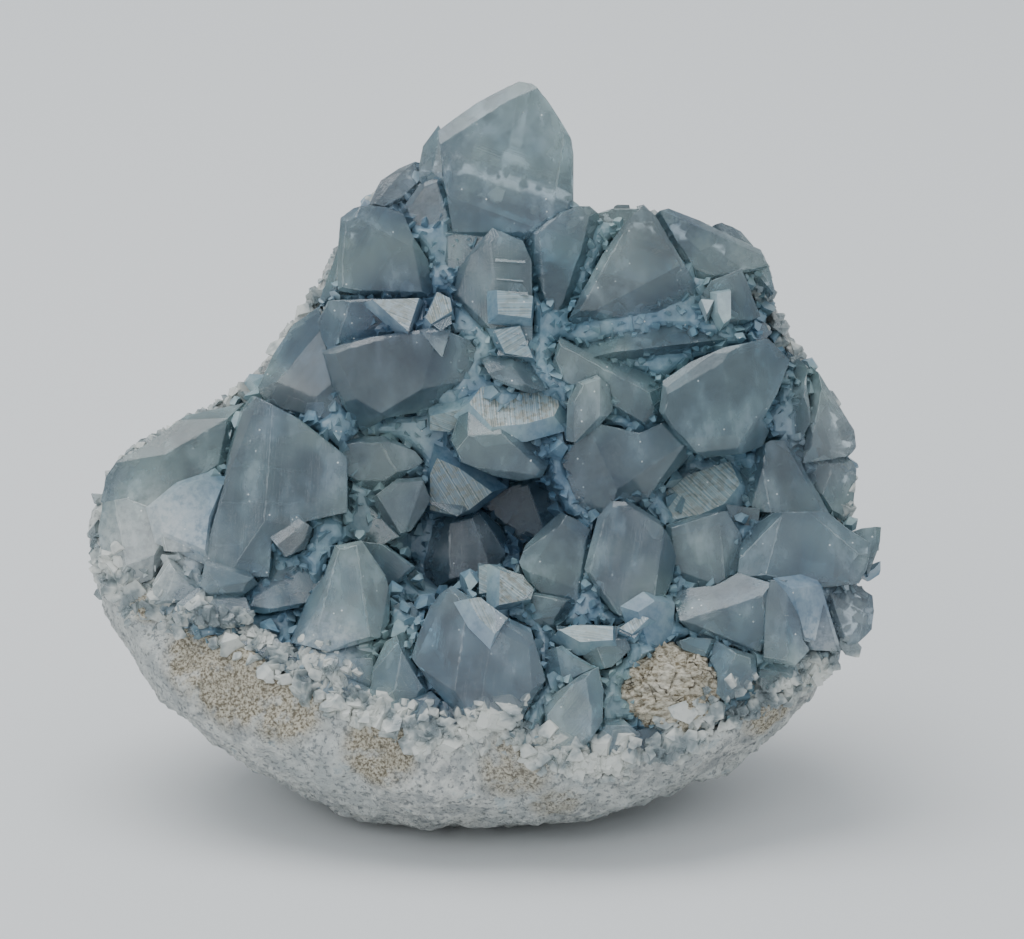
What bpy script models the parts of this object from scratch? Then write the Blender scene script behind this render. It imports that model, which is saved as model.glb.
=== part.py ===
"""Celestite cluster: blue crystals that line a piece of a geode's wall, standing on the wall's rounded outside.

The piece is described in a frame that leans back with its crystal face: across to the right, up along the
face, and out of it, all in millimetres from the middle of the flat that it stands on.
"""

import math
import random
from collections import namedtuple

import bmesh
import bpy
from mathutils import Matrix, Vector, noise

MM = 0.001
FACE_LEAN = math.radians(18)
GAP = 0.35
# A join that fails is tried again with the shape moved by this much
HAIR = 0.02
ATTEMPTS = 6
# The share of a solid that each kind of join or cut has to leave
NOTHING_LOST = 0.995
LITTLE_LOST = 0.9
HALF_LOST = 0.5
MOST_LOST = 0.2
# Points this close are made one, or where that would pinch the surface, points of the next distance
WELDS = (0.03, 0.012, 0.004, 0.001)
# The crystals are laid out on a chart of the face, in steps across and down it
CHART_STEP = 0.15
CHART_ZERO = (490, 792)
CHART_MIDDLE = (3.3, 48.4)
SIGHT = 1200.0

# The rind, a broken piece of the nodule's wall, by its outline on the crystal face
HEART = (-1.0, 42.0)
RIND_OUTLINE = [
    (-61, 36.5), (-58.6, 28), (-54.6, 21.2), (-49.4, 14), (-42.2, 7.8), (-33.8, 2.6), (-24.3, -2.3),
    (-13, -5.6), (-1.5, -5.4), (10.5, -5), (22.5, -2.5), (34, 2), (42.5, 8), (51.5, 17), (54.5, 30), (54, 44),
    (51.5, 56), (46, 67),
    (39.5, 78), (29, 84), (17, 85), (4, 90), (-8, 93.5), (-17.5, 90), (-22, 86), (-24, 78), (-28.5, 72),
    (-34, 64.5), (-38, 58), (-45, 57), (-51.5, 53), (-58, 49),
]
BACK_OUT = -27.0
FRONT_OUT = 47.0
EQUATOR_OUT = [(0, 9), (60, 4), (90, 0), (120, 3), (180, 9), (225, 17), (270, 21), (315, 17), (360, 9)]
# Below one, the body is fuller than an ellipsoid, and more so underneath, where it stands
ROUNDNESS = 0.85
UNDERSIDE_FULLNESS = 0.32
# Its lumps: how many waves to a millimetre and how high, and what is left of them near the equator
RIND_LUMPS = ((0.055, 2.2), (0.16, 1.1))
EQUATOR_CALM = 0.35
EQUATOR_WIDTH = 0.3
# How wide a band of bare rind shows round the crystals
BAND = [
    (0, 1.5), (45, 1.6), (90, 2.4), (135, 2.2), (170, 2), (185, 4), (195, 6), (202, 11), (210, 15),
    (240, 15), (270, 16), (285, 11), (300, 8), (315, 7), (330, 4), (345, 1.5), (360, 1.5),
]
# How far out the lip of the rind is, where the crystals end
LIP_OUT = [
    (0, 13), (45, 9), (90, 6), (120, 5), (150, 7), (180, 12), (196, 21), (214, 30), (230, 35), (248, 37.5),
    (270, 38.5), (290, 38.5), (306, 36), (322, 30.5), (337, 22.5), (350, 16), (360, 13),
]
FLOOR_OUT = -13.0
# The crust is this thick at the lip, and this much thicker under the heart
LINING = 4.0
FLOOR_LINING = 11.0
CRUST_BELOW_LIP = 0.6
CRUST_FRONT_BELOW_LIP = 1.5
# The room in front of the rind, past its outline: (further out from the heart, out of the face) for each turn
ROOM_RIM = (1.2, -1.0)
ROOM_LOW = (2.4, -15.0)
ROOM_WIDE = (45.0, -17.0)
ROOM_FRONT = 110.0
# How wide a crystal still is at its root, by its width, in the heart and at the rim
ROOT_SPREAD = 1.02
RIM_SPREAD = 0.72
# The rim starts at this share of the way from the heart to the lip, and is fully the rim this much further on
RIM_START = 0.6
RIM_CHANGE = 0.35
# A root lies this share of the way away from the heart, or towards it at the rim, and this deep in the crust
ROOT_AWAY = 0.08
RIM_ROOT_TOWARDS = 0.14
ROOT_SUNK = 3.0
ROOT_LEAST = 9.0
# A block rises this far over its facet before the facets cut it off
BLOCK_OVER = 25.0
# Bevels: the shortest side that takes one, the share of sides without, their widths and slopes
BEVEL_LEAST_SIDE = 3.0
BEVEL_SKIPPED = 0.45
BEVEL_WIDTHS = (0.5, 1.3)
BEVEL_SLOPES = (0.9, 1.8)
BEVEL_BITE = 0.15
LUMP_MIDDLE = (667, 697)
LUMP_OUT = 28.0
LUMP_SIZE = (8.6, 8.3, 7.5)
LUMP_FINENESS = 2
LUMP_WAVES = ((1.7, 0.16), (4.1, 0.10))


def smooth_between(table, degrees):
    """The value of a table of (degrees, value) rows at this angle, eased from row to row."""
    degrees %= 360
    for (a, low), (b, high) in zip(table, table[1:]):
        if a <= degrees <= b:
            t = (degrees - a) / (b - a)
            return low + (high - low) * t * t * (3 - 2 * t)
    return table[-1][1]


def polar_table(points, centre):
    """(degrees, radius) rows for an outline, closed round the full turn."""
    rows = sorted(
        (math.degrees(math.atan2(y - centre[1], x - centre[0])) % 360, math.hypot(x - centre[0], y - centre[1]))
        for x, y in points
    )
    last, first = rows[-1], rows[0]
    return [(last[0] - 360, last[1])] + rows + [(first[0] + 360, first[1])]


OUTLINE_RADIUS = polar_table(RIND_OUTLINE, HEART)


def outline_radius(degrees):
    return linear_between(OUTLINE_RADIUS, degrees % 360)


def linear_between(table, x):
    for (a, low), (b, high) in zip(table, table[1:]):
        if a <= x <= b:
            return low + (high - low) * (x - a) / (b - a)
    return table[-1][1]


def lip_radius(degrees):
    """How far from the heart the crystals end and the rind shows."""
    return outline_radius(degrees) - smooth_between(BAND, degrees)


def lip_out(degrees):
    """How far out the rind's surface is where the crystals end."""
    return smooth_between(LIP_OUT, degrees)


def bowl_out(across, up):
    """The rind's inner surface under the crystals."""
    dx, dy = across - HEART[0], up - HEART[1]
    degrees = math.degrees(math.atan2(dy, dx))
    share = min(1.0, math.hypot(dx, dy) / lip_radius(degrees))
    return FLOOR_OUT + (lip_out(degrees) - FLOOR_OUT) * (1 - math.sqrt(1 - share * share))


def world(across, up, out):
    """A point of the leaning frame as a point of the world, in metres, as seen along the line of sight."""
    drawn_in = 1 / (1 + out / SIGHT)
    out *= drawn_in
    across = CHART_MIDDLE[0] + (across - CHART_MIDDLE[0]) * drawn_in
    up = CHART_MIDDLE[1] + (up - CHART_MIDDLE[1]) * drawn_in
    lean_sin, lean_cos = math.sin(FACE_LEAN), math.cos(FACE_LEAN)
    return Vector((across, up * lean_sin - out * lean_cos, up * lean_cos + out * lean_sin)) * MM


def from_chart(x, y):
    """Steps across and down the chart as millimetres across and up."""
    return ((x - CHART_ZERO[0]) * CHART_STEP, (CHART_ZERO[1] - y) * CHART_STEP)


def clear_scene():
    for obj in list(bpy.data.objects):
        bpy.data.objects.remove(obj)


def new_object(name, bm):
    mesh = bpy.data.meshes.new(name)
    bm.to_mesh(mesh)
    bm.free()
    obj = bpy.data.objects.new(name, mesh)
    bpy.context.scene.collection.objects.link(obj)
    return obj


def apply_boolean(obj, operation, other):
    """Applies one Boolean step for good and removes the other object."""
    step = obj.modifiers.new(operation.title(), "BOOLEAN")
    step.operation = operation
    step.object = other
    step.solver = "EXACT"
    graph = bpy.context.evaluated_depsgraph_get()
    baked = bpy.data.meshes.new_from_object(obj.evaluated_get(graph))
    obj.modifiers.clear()
    obj.data = baked
    obj.update_tag()
    bpy.data.objects.remove(other)
    bpy.context.view_layer.update()


def tidy(obj):
    """Takes out the specks that a join leaves and returns the volume in cubic millimetres, zero if it's open."""
    for weld in WELDS:
        bm = bmesh.new()
        bm.from_mesh(obj.data)
        bmesh.ops.remove_doubles(bm, verts=bm.verts, dist=weld * MM)
        bmesh.ops.dissolve_degenerate(bm, dist=weld / 2 * MM, edges=bm.edges)
        gaps = [edge for edge in bm.edges if len(edge.link_faces) == 1]
        if gaps:
            bmesh.ops.holes_fill(bm, edges=gaps, sides=8)
        bmesh.ops.delete(bm, geom=[v for v in bm.verts if not v.link_faces], context="VERTS")
        closed = bool(bm.faces) and all(len(edge.link_faces) == 2 for edge in bm.edges)
        volume = bm.calc_volume(signed=True) / MM ** 3 if closed else 0.0
        if closed:
            bm.to_mesh(obj.data)
        bm.free()
        if closed:
            break
    obj.update_tag()
    return volume


def keep_largest(obj):
    """Drops the loose bits that a cut leaves, and fills the hollows that have no way out."""
    bm = bmesh.new()
    bm.from_mesh(obj.data)
    left, islands = set(bm.faces), []
    while left:
        island, border = set(), [left.pop()]
        while border:
            face = border.pop()
            island.add(face)
            for edge in face.edges:
                for other in edge.link_faces:
                    if other in left:
                        left.discard(other)
                        border.append(other)
        islands.append(island)
    islands.sort(key=len)
    bmesh.ops.delete(bm, geom=[face for island in islands[:-1] for face in island], context="FACES")
    bm.to_mesh(obj.data)
    bm.free()
    return obj


def combine(obj, operation, shape, least):
    """One Boolean step with the shape that a function gives for each attempt. Where two faces meet too closely
    for a clean result, the shape moves by a hair. Returns whether a result is clean and keeps at least this share
    of the volume; otherwise the object stays as it was."""
    before = tidy(obj)
    kept = obj.data.copy()
    for attempt in range(ATTEMPTS):
        other = new_object("other", shape(attempt))
        hair = HAIR * MM * attempt
        way = (math.cos(2.4 * attempt), math.sin(1.7 * attempt), math.sin(2.4 * attempt))
        other.data.transform(Matrix.Translation(Vector(way) * hair))
        apply_boolean(obj, operation, other)
        keep_largest(obj)
        if tidy(obj) >= least * before:
            return True
        obj.data = kept.copy()
    return False


def must(clean):
    if not clean:
        raise RuntimeError("a cut has no clean result")


# The rind


def rounded_body(turns=36, rings=20):
    """The nodule's outside as a sphere drawn out to the outline, the back and the front, with its lumps and pits."""
    bm = bmesh.new()
    bmesh.ops.create_uvsphere(bm, u_segments=turns, v_segments=rings, radius=1.0)
    for vert in bm.verts:
        x, y, z = vert.co
        flat = math.hypot(x, y)
        degrees = math.degrees(math.atan2(y, x))
        middle = smooth_between(EQUATOR_OUT, degrees)
        reach = FRONT_OUT - middle if z > 0 else middle - BACK_OUT
        fullness = ROUNDNESS - UNDERSIDE_FULLNESS * max(0.0, -math.sin(math.radians(degrees))) ** 2
        radius = outline_radius(degrees) * flat ** fullness
        across = HEART[0] + radius * math.cos(math.radians(degrees))
        up = HEART[1] + radius * math.sin(math.radians(degrees))
        out = middle + reach * z
        (wide, high), (narrow, low) = RIND_LUMPS
        place = Vector((across, up, out))
        bulge = noise.noise(place * wide) * high + noise.noise(place * narrow) * low
        push = Vector((x, y, z)).normalized() * bulge * (EQUATOR_CALM if abs(z) < EQUATOR_WIDTH else 1.0)
        vert.co = world(across + push.x, up + push.y, out + push.z)
    bmesh.ops.recalc_face_normals(bm, faces=bm.faces)
    return bm


def cut_flat(bm, height):
    """Cuts the body off level, where it stands."""
    cut = bmesh.ops.bisect_plane(
        bm, geom=bm.verts[:] + bm.edges[:] + bm.faces[:], plane_co=(0, 0, height), plane_no=(0, 0, 1),
        clear_inner=True, dist=1e-6,
    )
    rim = [e for e in cut["geom_cut"] if isinstance(e, bmesh.types.BMEdge)]
    bmesh.ops.edgeloop_fill(bm, edges=rim)
    bmesh.ops.recalc_face_normals(bm, faces=bm.faces)
    return bm


def turned_body(rows, turns=36):
    """A closed body from (radius, out) rules for each loop round the heart, with a point at each end."""
    bm = bmesh.new()
    loops = []
    for row in rows:
        loop = []
        for turn in range(turns):
            degrees = 360 * turn / turns
            radius, out = row(degrees)
            angle = math.radians(degrees)
            loop.append(bm.verts.new(world(HEART[0] + radius * math.cos(angle),
                                           HEART[1] + radius * math.sin(angle), out)))
        loops.append(loop)
    for low, high in zip(loops, loops[1:]):
        for k in range(turns):
            bm.faces.new((low[k], high[k], high[(k + 1) % turns], low[(k + 1) % turns]))
    for loop in (loops[0], loops[-1]):
        middle = bm.verts.new(sum((v.co for v in loop), Vector()) / turns)
        for k in range(turns):
            bm.faces.new((middle, loop[k], loop[(k + 1) % turns]))
    bmesh.ops.recalc_face_normals(bm, faces=bm.faces)
    return bm


def hollow_rows(inset, rings=6, drop=0.0, lift=0.0):
    """The rows of the hollow's wall, from its floor to its lip, this far inside it, this much below the lip and
    this much more above the floor."""
    def row(angle):
        return lambda degrees: (
            (lip_radius(degrees) - inset) * math.sin(angle),
            FLOOR_OUT + (inset + lift) * math.cos(angle)
            + (lip_out(degrees) - drop - FLOOR_OUT) * (1 - math.cos(angle)),
        )
    return [row(i / rings * math.pi / 2) for i in range(1, rings + 1)]


def room_body(inset):
    """What the rind leaves free, as a solid: the hollow up to its lip, then all that is in front of the rind."""
    def rim(degrees):
        return outline_radius(degrees) + ROOM_RIM[0] + inset, lip_out(degrees) + ROOM_RIM[1] + inset

    def low(degrees):
        middle = smooth_between(EQUATOR_OUT, degrees)
        return outline_radius(degrees) + ROOM_LOW[0] + inset, middle + ROOM_LOW[1] + inset

    def wide(degrees):
        middle = smooth_between(EQUATOR_OUT, degrees)
        return outline_radius(degrees) + ROOM_WIDE[0], middle + ROOM_WIDE[1] + inset

    def front(degrees):
        return outline_radius(degrees) + ROOM_WIDE[0], ROOM_FRONT

    return turned_body(hollow_rows(inset, drop=-inset) + [rim, low, wide, front])


def crust():
    """The layer that the crystals grow from, on the rind's inner wall."""
    wall = hollow_rows(0.0, drop=CRUST_BELOW_LIP)
    front = hollow_rows(LINING, drop=CRUST_FRONT_BELOW_LIP, lift=FLOOR_LINING)
    return turned_body(wall + front[::-1])


def rind():
    body = new_object("rind", cut_flat(rounded_body(), 0.0))
    must(combine(body, "DIFFERENCE", lambda attempt: room_body(0.0), MOST_LOST))
    must(combine(body, "DIFFERENCE", lambda attempt: lump(GAP), LITTLE_LOST))
    return body


# Each crystal: its outline on the chart, how far out its main facet lies at the outline's middle, how that
# facet slopes per millimetre across and up, the facets that fall away from it beyond a line (a point of the
# chart on the line, the direction it falls in, how steeply), how wide its bevels are, and where it is rooted.
Crystal = namedtuple("Crystal", "outline out slope falls bevel root", defaults=[(0, 0), (), 0.7, None])

CRYSTALS = {
    "summit": Crystal(
        [(437, 124), (457, 107), (478, 91), (500, 80), (520, 70), (533, 76), (546, 93), (560, 115), (573, 138),
         (575, 150), (574, 206), (548, 224), (523, 240), (487, 237), (453, 233), (444, 180)],
        15, (0, -0.12),
        [(500, 104, 113, 0.9), (461, 131, 123, 1.0), (562, 128, 25, 0.9), (500, 215, 250, 0.25),
         (556, 190, -8, 0.5)], 0.8, (505, 215, -9)),
    "summit_left": Crystal(
        [(417, 160), (421, 140), (438, 123), (446, 140), (446, 176), (430, 186), (418, 178)],
        13, (0.1, -0.1), [(436, 150, 170, 0.9), (430, 170, 230, 0.8)], 0.8, (445, 205, -6)),
    "summit_knob": Crystal(
        [(368, 203), (378, 176), (396, 163), (418, 157), (424, 180), (405, 198), (386, 209)],
        10, (0.1, -0.35), [(395, 180, 140, 0.7)], 1.0, (415, 225, -4)),
    "summit_foot": Crystal(
        [(400, 207), (418, 184), (440, 175), (448, 200), (455, 233), (448, 264), (430, 258), (409, 238)],
        13, (0.2, 0.05), [(435, 230, -60, 0.4)], 0.8),
    "column_left": Crystal(
        [(450, 228), (490, 232), (472, 262), (458, 292), (447, 302), (434, 291), (427, 262), (430, 240)],
        14.5, (0.1, -0.05), [(448, 262, 180, 0.5)], 0.7),
    "shoulder": Crystal(
        [(337, 290), (337, 250), (340, 216), (352, 206), (368, 202), (386, 203), (402, 208), (413, 235),
         (428, 258), (434, 290), (425, 298), (380, 298)],
        18, (-0.02, 0.05), [(383, 232, 62, 1.0), (418, 272, 12, 1.1), (352, 219, 115, 1.5), (382, 291, 268, 1.6)],
        0.8),
    "shoulder_rim": Crystal(
        [(316, 300), (331, 264), (340, 240), (341, 216), (352, 224), (350, 260), (345, 296), (325, 303)],
        14, (0.1, 0), [(338, 262, 170, 1.0)], 0.8),
    "heart_top": Crystal(
        [(317, 322), (328, 301), (374, 299), (413, 333), (396, 344), (360, 353), (330, 354), (322, 340)],
        17.5, (-0.12, 0.25), [(345, 318, 160, 0.4)], 0.6),
    "heart_main": Crystal(
        [(323, 352), (345, 344), (372, 337), (410, 331), (440, 328), (470, 341), (497, 377), (463, 406),
         (386, 419), (363, 433), (345, 409), (332, 385)],
        20.5, (0.02, 0.12), [(428, 365, -15, 0.42), (350, 385, 205, 0.5), (372, 408, -120, 0.7)], 0.8),
    "heart_gleam": Crystal([(371, 298), (419, 298), (409, 334)], 19.5, (0, -0.7), (), 0, (400, 318, 3)),
    "heart_step": Crystal(
        [(424, 318), (438, 290), (451, 300), (452, 324), (441, 332)], 19.5, (-0.1, -0.72), (), 0, (445, 320, 3)),
    "heart_step_low": Crystal(
        [(419, 330), (440, 326), (450, 330), (443, 357), (436, 350)], 21.5, (-0.2, -0.68), (), 0, (445, 335, 3)),
    "ladder": Crystal(
        [(452, 298), (458, 270), (472, 250), (492, 228), (523, 241), (532, 262), (533, 358), (515, 364),
         (494, 337), (470, 344), (452, 328)],
        18.5, (0.02, -0.03), [(493, 300, 182, 0.3), (480, 250, 125, 0.6)], 0.6),
    "ladder_right": Crystal(
        [(523, 240), (545, 222), (574, 207), (590, 205), (599, 212), (609, 236), (600, 262), (585, 290),
         (572, 320), (566, 345), (556, 364), (532, 360), (529, 300), (529, 262)],
        16.5, (-0.02, 0.02), [(592, 220, 40, 0.9), (545, 300, 185, 0.35), (570, 300, -40, 0.3)], 0.7),
    "ladder_foot": Crystal(
        [(468, 342), (494, 334), (515, 362), (556, 360), (592, 374), (562, 386), (531, 394), (494, 381)],
        21.5, (0.02, -0.3), [(530, 384, -85, 1.2), (505, 360, 130, 0.3)], 0.6),
    "pyramid": Crystal(
        [(643, 205), (655, 215), (668, 237), (681, 258), (702, 294), (674, 308), (642, 318), (604, 319),
         (576, 332), (567, 320), (580, 294), (601, 255), (622, 226)],
        20, (0, 0.04), [(660, 276, -62, 0.55), (607, 262, 151, 1.3), (668, 244, 30, 1.3), (640, 222, 90, 0.5)],
        0.5, (640, 275, -3)),
    "pyramid_back": Crystal([(594, 214), (612, 208), (642, 208), (640, 240), (605, 250)], 11, (0, -0.15), (), 0.6,
                            (615, 240, -4)),
    "pyramid_right": Crystal(
        [(653, 214), (668, 207), (700, 219), (732, 235), (762, 249), (768, 268), (742, 273), (711, 284),
         (703, 295), (684, 262)],
        16.5, (-0.02, -0.02), [(712, 233, 66, 1.5), (700, 270, -110, 0.5)], 0.6, (710, 262, -3)),
    "right_crest": Crystal(
        [(712, 226), (722, 223), (741, 230), (770, 263), (776, 292), (764, 302), (746, 290), (742, 262)],
        13.5, (-0.15, -0.05), [(757, 262, 30, 0.9)], 0.8, (740, 275, -2)),
    "cube": Crystal(
        [(701, 295), (711, 281), (741, 269), (750, 288), (763, 315), (745, 323), (725, 327), (706, 318)],
        19, (-0.02, 0.08), [(745, 295, -5, 0.5)], 0.5),
    "cube_gleam": Crystal([(716, 291), (731, 290), (730, 317), (723, 325), (718, 312)], 20.2, (0, -0.7), (), 0),
    "cube_spark": Crystal([(701, 294), (717, 303), (706, 317)], 20.2, (-0.25, -0.65), (), 0),
    "brow": Crystal(
        [(558, 338), (572, 326), (600, 317), (642, 316), (701, 296), (722, 324), (763, 314), (776, 332),
         (765, 342), (725, 349), (690, 364), (664, 380), (625, 368), (585, 354)],
        22, (0.01, -0.15), [(650, 338, -83, 0.4), (590, 335, 160, 0.4)], 0.6),
    "brow_left": Crystal(
        [(552, 364), (559, 338), (586, 352), (625, 366), (664, 379), (659, 405), (665, 426), (640, 437),
         (610, 428), (585, 400), (562, 386)],
        22, (0.05, 0.1), [(612, 395, 215, 0.3), (648, 410, -30, 0.5)], 0.7),
    "leaf": Crystal(
        [(566, 441), (567, 402), (578, 382), (597, 375), (609, 386), (613, 411), (598, 427), (577, 443)],
        23.5, (0.05, 0.0), [(600, 405, 0, 0.8), (574, 410, 180, 0.8)], 0.6),
    "cheek": Crystal(
        [(659, 411), (663, 380), (690, 362), (725, 347), (769, 338), (791, 360), (779, 392), (764, 420),
         (771, 431), (765, 446), (745, 454), (705, 458), (692, 452), (675, 436)],
        25, (0.03, 0.08), [(728, 395, 8, 0.3), (700, 375, 120, 0.35), (730, 435, -85, 0.3)], 0.8),
    "temple": Crystal(
        [(776, 291), (789, 308), (803, 335), (816, 362), (812, 385), (814, 420), (808, 442), (770, 440),
         (764, 420), (782, 392), (792, 362), (782, 335), (764, 316)],
        20, (-0.25, -0.03), [(802, 350, 15, 0.6), (790, 405, -30, 0.3)], 0.8),
    "right_edge": Crystal(
        [(815, 362), (836, 395), (858, 430), (858, 447), (850, 457), (803, 464), (806, 442), (812, 410)],
        16.5, (-0.2, -0.05), [(836, 415, 30, 0.7), (830, 450, -100, 0.5)], 1.0, (800, 425, -2)),
    "right_edge_low": Crystal(
        [(801, 463), (850, 455), (858, 470), (857, 512), (848, 523), (830, 514), (812, 486)],
        16, (-0.15, 0), [(828, 480, 160, 0.6), (845, 500, -20, 0.6)], 1.0, (800, 480, 2)),
    "right_flat": Crystal(
        [(743, 458), (771, 440), (810, 439), (803, 464), (830, 513), (800, 514), (760, 512), (736, 498),
         (741, 478)],
        18, (-0.08, -0.1), [(765, 480, 190, 0.5)], 0.6),
    "cap": Crystal(
        [(452, 440), (463, 407), (484, 381), (500, 396), (530, 394), (558, 390), (559, 412), (555, 452),
         (543, 477), (520, 481), (495, 476), (462, 462)],
        23.5, (0.0, 0.1), [(515, 425, 88, 0.82), (473, 414, 140, 0.5), (549, 458, -38, 1.6), (500, 470, -97, 0.8)],
        0.4, (500, 430, -6)),
    "centre_pale": Crystal(
        [(554, 456), (557, 412), (556, 390), (574, 384), (571, 402), (570, 445), (576, 472), (562, 468)],
        18, (0.1, 0), [(563, 420, 180, 0.7)], 0.6),
    "centre_right": Crystal(
        [(562, 457), (577, 440), (600, 424), (640, 433), (664, 422), (678, 436), (693, 452), (668, 478),
         (650, 499), (610, 511), (597, 517), (584, 513), (571, 498)],
        22, (0.04, 0.05), [(612, 478, 205, 0.45), (645, 470, -55, 0.5), (590, 508, -105, 1.0)], 0.6),
    "straw_left": Crystal(
        [(424, 480), (433, 455), (441, 453), (482, 480), (485, 498), (458, 516), (430, 503)],
        12, (0.0, -0.7), [(468, 488, -15, 0.6)], 0, (455, 480, -8)),
    "straw_right": Crystal(
        [(667, 492), (690, 464), (725, 461), (743, 478), (740, 497), (728, 513), (700, 518), (672, 523)],
        14, (0.08, -0.62), [(725, 485, 10, 0.6)], 0, (705, 490, -2)),
    "straw_chip": Crystal([(648, 503), (657, 483), (670, 479), (670, 500), (665, 521), (654, 515)],
                          16, (-0.3, -0.55), (), 0, (665, 500, 0)),
    "sparkle": Crystal([(399, 421), (430, 410), (464, 407), (461, 417), (445, 438), (415, 436)],
                       13, (0.05, -0.5), [(425, 425, 190, 0.5)], 0, (430, 420, 0)),
    "lens": Crystal(
        [(584, 569), (591, 540), (597, 517), (611, 501), (630, 502), (657, 519), (669, 537), (675, 556),
         (672, 578), (664, 598), (645, 608), (625, 619), (611, 611), (597, 591)],
        28.5, (0.03, -0.1), [(665, 565, -8, 1.4), (600, 535, 165, 0.9), (612, 508, 100, 0.6)], 0.7),
    "lens_neighbour": Crystal(
        [(665, 525), (700, 514), (726, 511), (741, 535), (741, 560), (735, 573), (715, 585), (690, 589),
         (672, 587), (668, 550)],
        23.5, (0.02, 0.0), [(722, 548, 5, 0.6), (690, 575, -110, 0.5)], 0.7),
    "lens_link": Crystal([(726, 504), (760, 509), (758, 526), (742, 548), (733, 526)], 19, (0, -0.1), (), 0.5),
    "middle": Crystal(
        [(519, 562), (525, 545), (545, 525), (560, 512), (578, 520), (591, 530), (585, 568), (612, 612),
         (600, 622), (575, 626), (545, 602), (530, 590)],
        24, (-0.12, -0.12), [(547, 545, 148, 0.7), (560, 583, -110, 0.35), (572, 530, 60, 0.4)], 0.6),
    "middle_low": Crystal(
        [(500, 605), (535, 592), (575, 600), (612, 611), (608, 624), (560, 628), (548, 645), (520, 627)],
        26, (0, -0.3), [(560, 615, -80, 0.4)], 0.6),
    "glitter": Crystal([(478, 563), (500, 567), (523, 575), (533, 590), (527, 599), (499, 606), (477, 593)],
                       29, (0.05, -0.68), [(498, 583, 195, 0.7)], 0, (505, 585, 8)),
    "deep_left": Crystal(
        [(400, 540), (412, 520), (440, 513), (475, 503), (500, 525), (511, 545), (495, 572), (440, 587),
         (414, 573)],
        11, (0.0, -0.1), [(450, 545, 180, 0.4), (480, 540, 20, 0.5)], 0.8),
    "deep_middle": Crystal([(478, 492), (521, 480), (522, 502), (504, 528), (482, 508)], 6, (0, 0), (), 0.6),
    "deep_right": Crystal([(518, 482), (547, 474), (574, 500), (562, 513), (526, 547), (502, 527)],
                          6, (0.1, 0.1), [(535, 505, 20, 0.5)], 0.6),
    "front_large": Crystal(
        [(417, 637), (430, 606), (441, 592), (452, 585), (471, 597), (500, 614), (531, 628), (546, 680),
         (527, 708), (520, 725), (495, 724), (455, 713), (430, 684), (411, 657)],
        39, (0.0, -0.08),
        [(462, 640, 172, 0.5), (440, 670, 215, 0.5), (500, 632, 62, 0.45), (530, 660, 5, 0.6), (455, 600, 110, 0.4)],
        0.8),
    "front_rough": Crystal([(469, 600), (481, 597), (506, 620), (499, 631), (486, 633), (474, 614)],
                           38.5, (0.1, -0.6), (), 0, (485, 620, 10)),
    "front_leaf": Crystal(
        [(547, 746), (544, 702), (560, 690), (580, 676), (599, 667), (604, 690), (603, 722), (590, 741), (568, 757)],
        38.5, (0.1, -0.08), [(590, 700, 10, 0.8), (560, 700, 140, 0.5)], 0.7),
    "front_leaf_right": Crystal([(574, 756), (590, 741), (604, 722), (626, 722), (641, 735), (628, 756), (600, 764)],
                                37.5, (0.0, -0.15), [(605, 745, -110, 0.6)], 0.6),
    "front_gap": Crystal([(522, 726), (527, 707), (546, 681), (548, 700), (549, 737), (537, 737)],
                         35.5, (-0.1, 0), (), 0.5),
    "small_pale": Crystal([(582, 656), (598, 640), (625, 634), (631, 649), (612, 667), (598, 670)],
                          32, (0, -0.1), [(600, 655, 200, 0.5)], 0.6),
    "small_rough": Crystal([(579, 624), (620, 626), (616, 641), (590, 641)], 31, (0, -0.55), (), 0),
    "small_green": Crystal([(556, 625), (581, 628), (582, 646), (570, 650), (559, 641)], 30, (0.1, 0), (), 0.6),
    "small_quad": Crystal([(618, 631), (640, 612), (652, 617), (635, 639)], 32, (0.0, -0.7), (), 0),
    "small_dark": Crystal([(628, 648), (636, 636), (660, 605), (671, 600), (673, 628), (652, 648)],
                          28.5, (0.1, 0), [(655, 625, 0, 0.6)], 0.5),
    "small_low": Crystal([(545, 650), (562, 645), (575, 655), (598, 668), (578, 678), (556, 688), (545, 690)],
                         33, (0, -0.3), [(560, 668, 190, 0.6)], 0.5),
    "marl_neighbour": Crystal([(676, 642), (690, 637), (717, 639), (708, 662), (700, 672), (684, 662)],
                              30, (-0.1, -0.1), (), 0.6),
    "low_upper": Crystal(
        [(738, 572), (742, 545), (757, 525), (776, 512), (830, 511), (852, 529), (875, 543), (869, 570),
         (861, 584), (820, 588), (797, 594), (770, 587)],
        25, (-0.1, -0.18), [(775, 540, 165, 0.4), (830, 530, 50, 0.5), (845, 570, -40, 0.4), (800, 580, -95, 0.6)], 1.0),
    "horn": Crystal([(848, 533), (862, 528), (884, 525), (882, 541), (868, 577), (861, 560)],
                    20, (-0.1, -0.1), [(875, 540, 0, 0.8)], 0.5, (840, 560, 6)),
    "low_front": Crystal(
        [(670, 593), (690, 587), (715, 585), (738, 572), (771, 583), (770, 600), (761, 652), (740, 646),
         (715, 639), (698, 638), (680, 622)],
        30, (0.04, -0.12), [(715, 615, -65, 0.3), (700, 595, 130, 0.4)], 0.8),
    "low_column": Crystal([(766, 600), (771, 580), (791, 580), (798, 600), (804, 640), (811, 651), (795, 666), (763, 661)],
                          29.5, (-0.05, -0.1), [(787, 620, 0, 0.5)], 0.7),
    "low_blue": Crystal([(796, 592), (820, 585), (836, 640), (839, 652), (810, 650), (800, 626)],
                        26, (-0.3, 0.0), (), 0.5),
    "low_end": Crystal(
        [(819, 587), (862, 583), (880, 595), (876, 630), (860, 643), (842, 657), (832, 625)],
        22.5, (-0.2, -0.1), [(850, 605, 60, 0.5), (862, 625, -20, 0.6), (843, 630, 200, 0.4)], 0.9, (810, 615, 6)),
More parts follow.
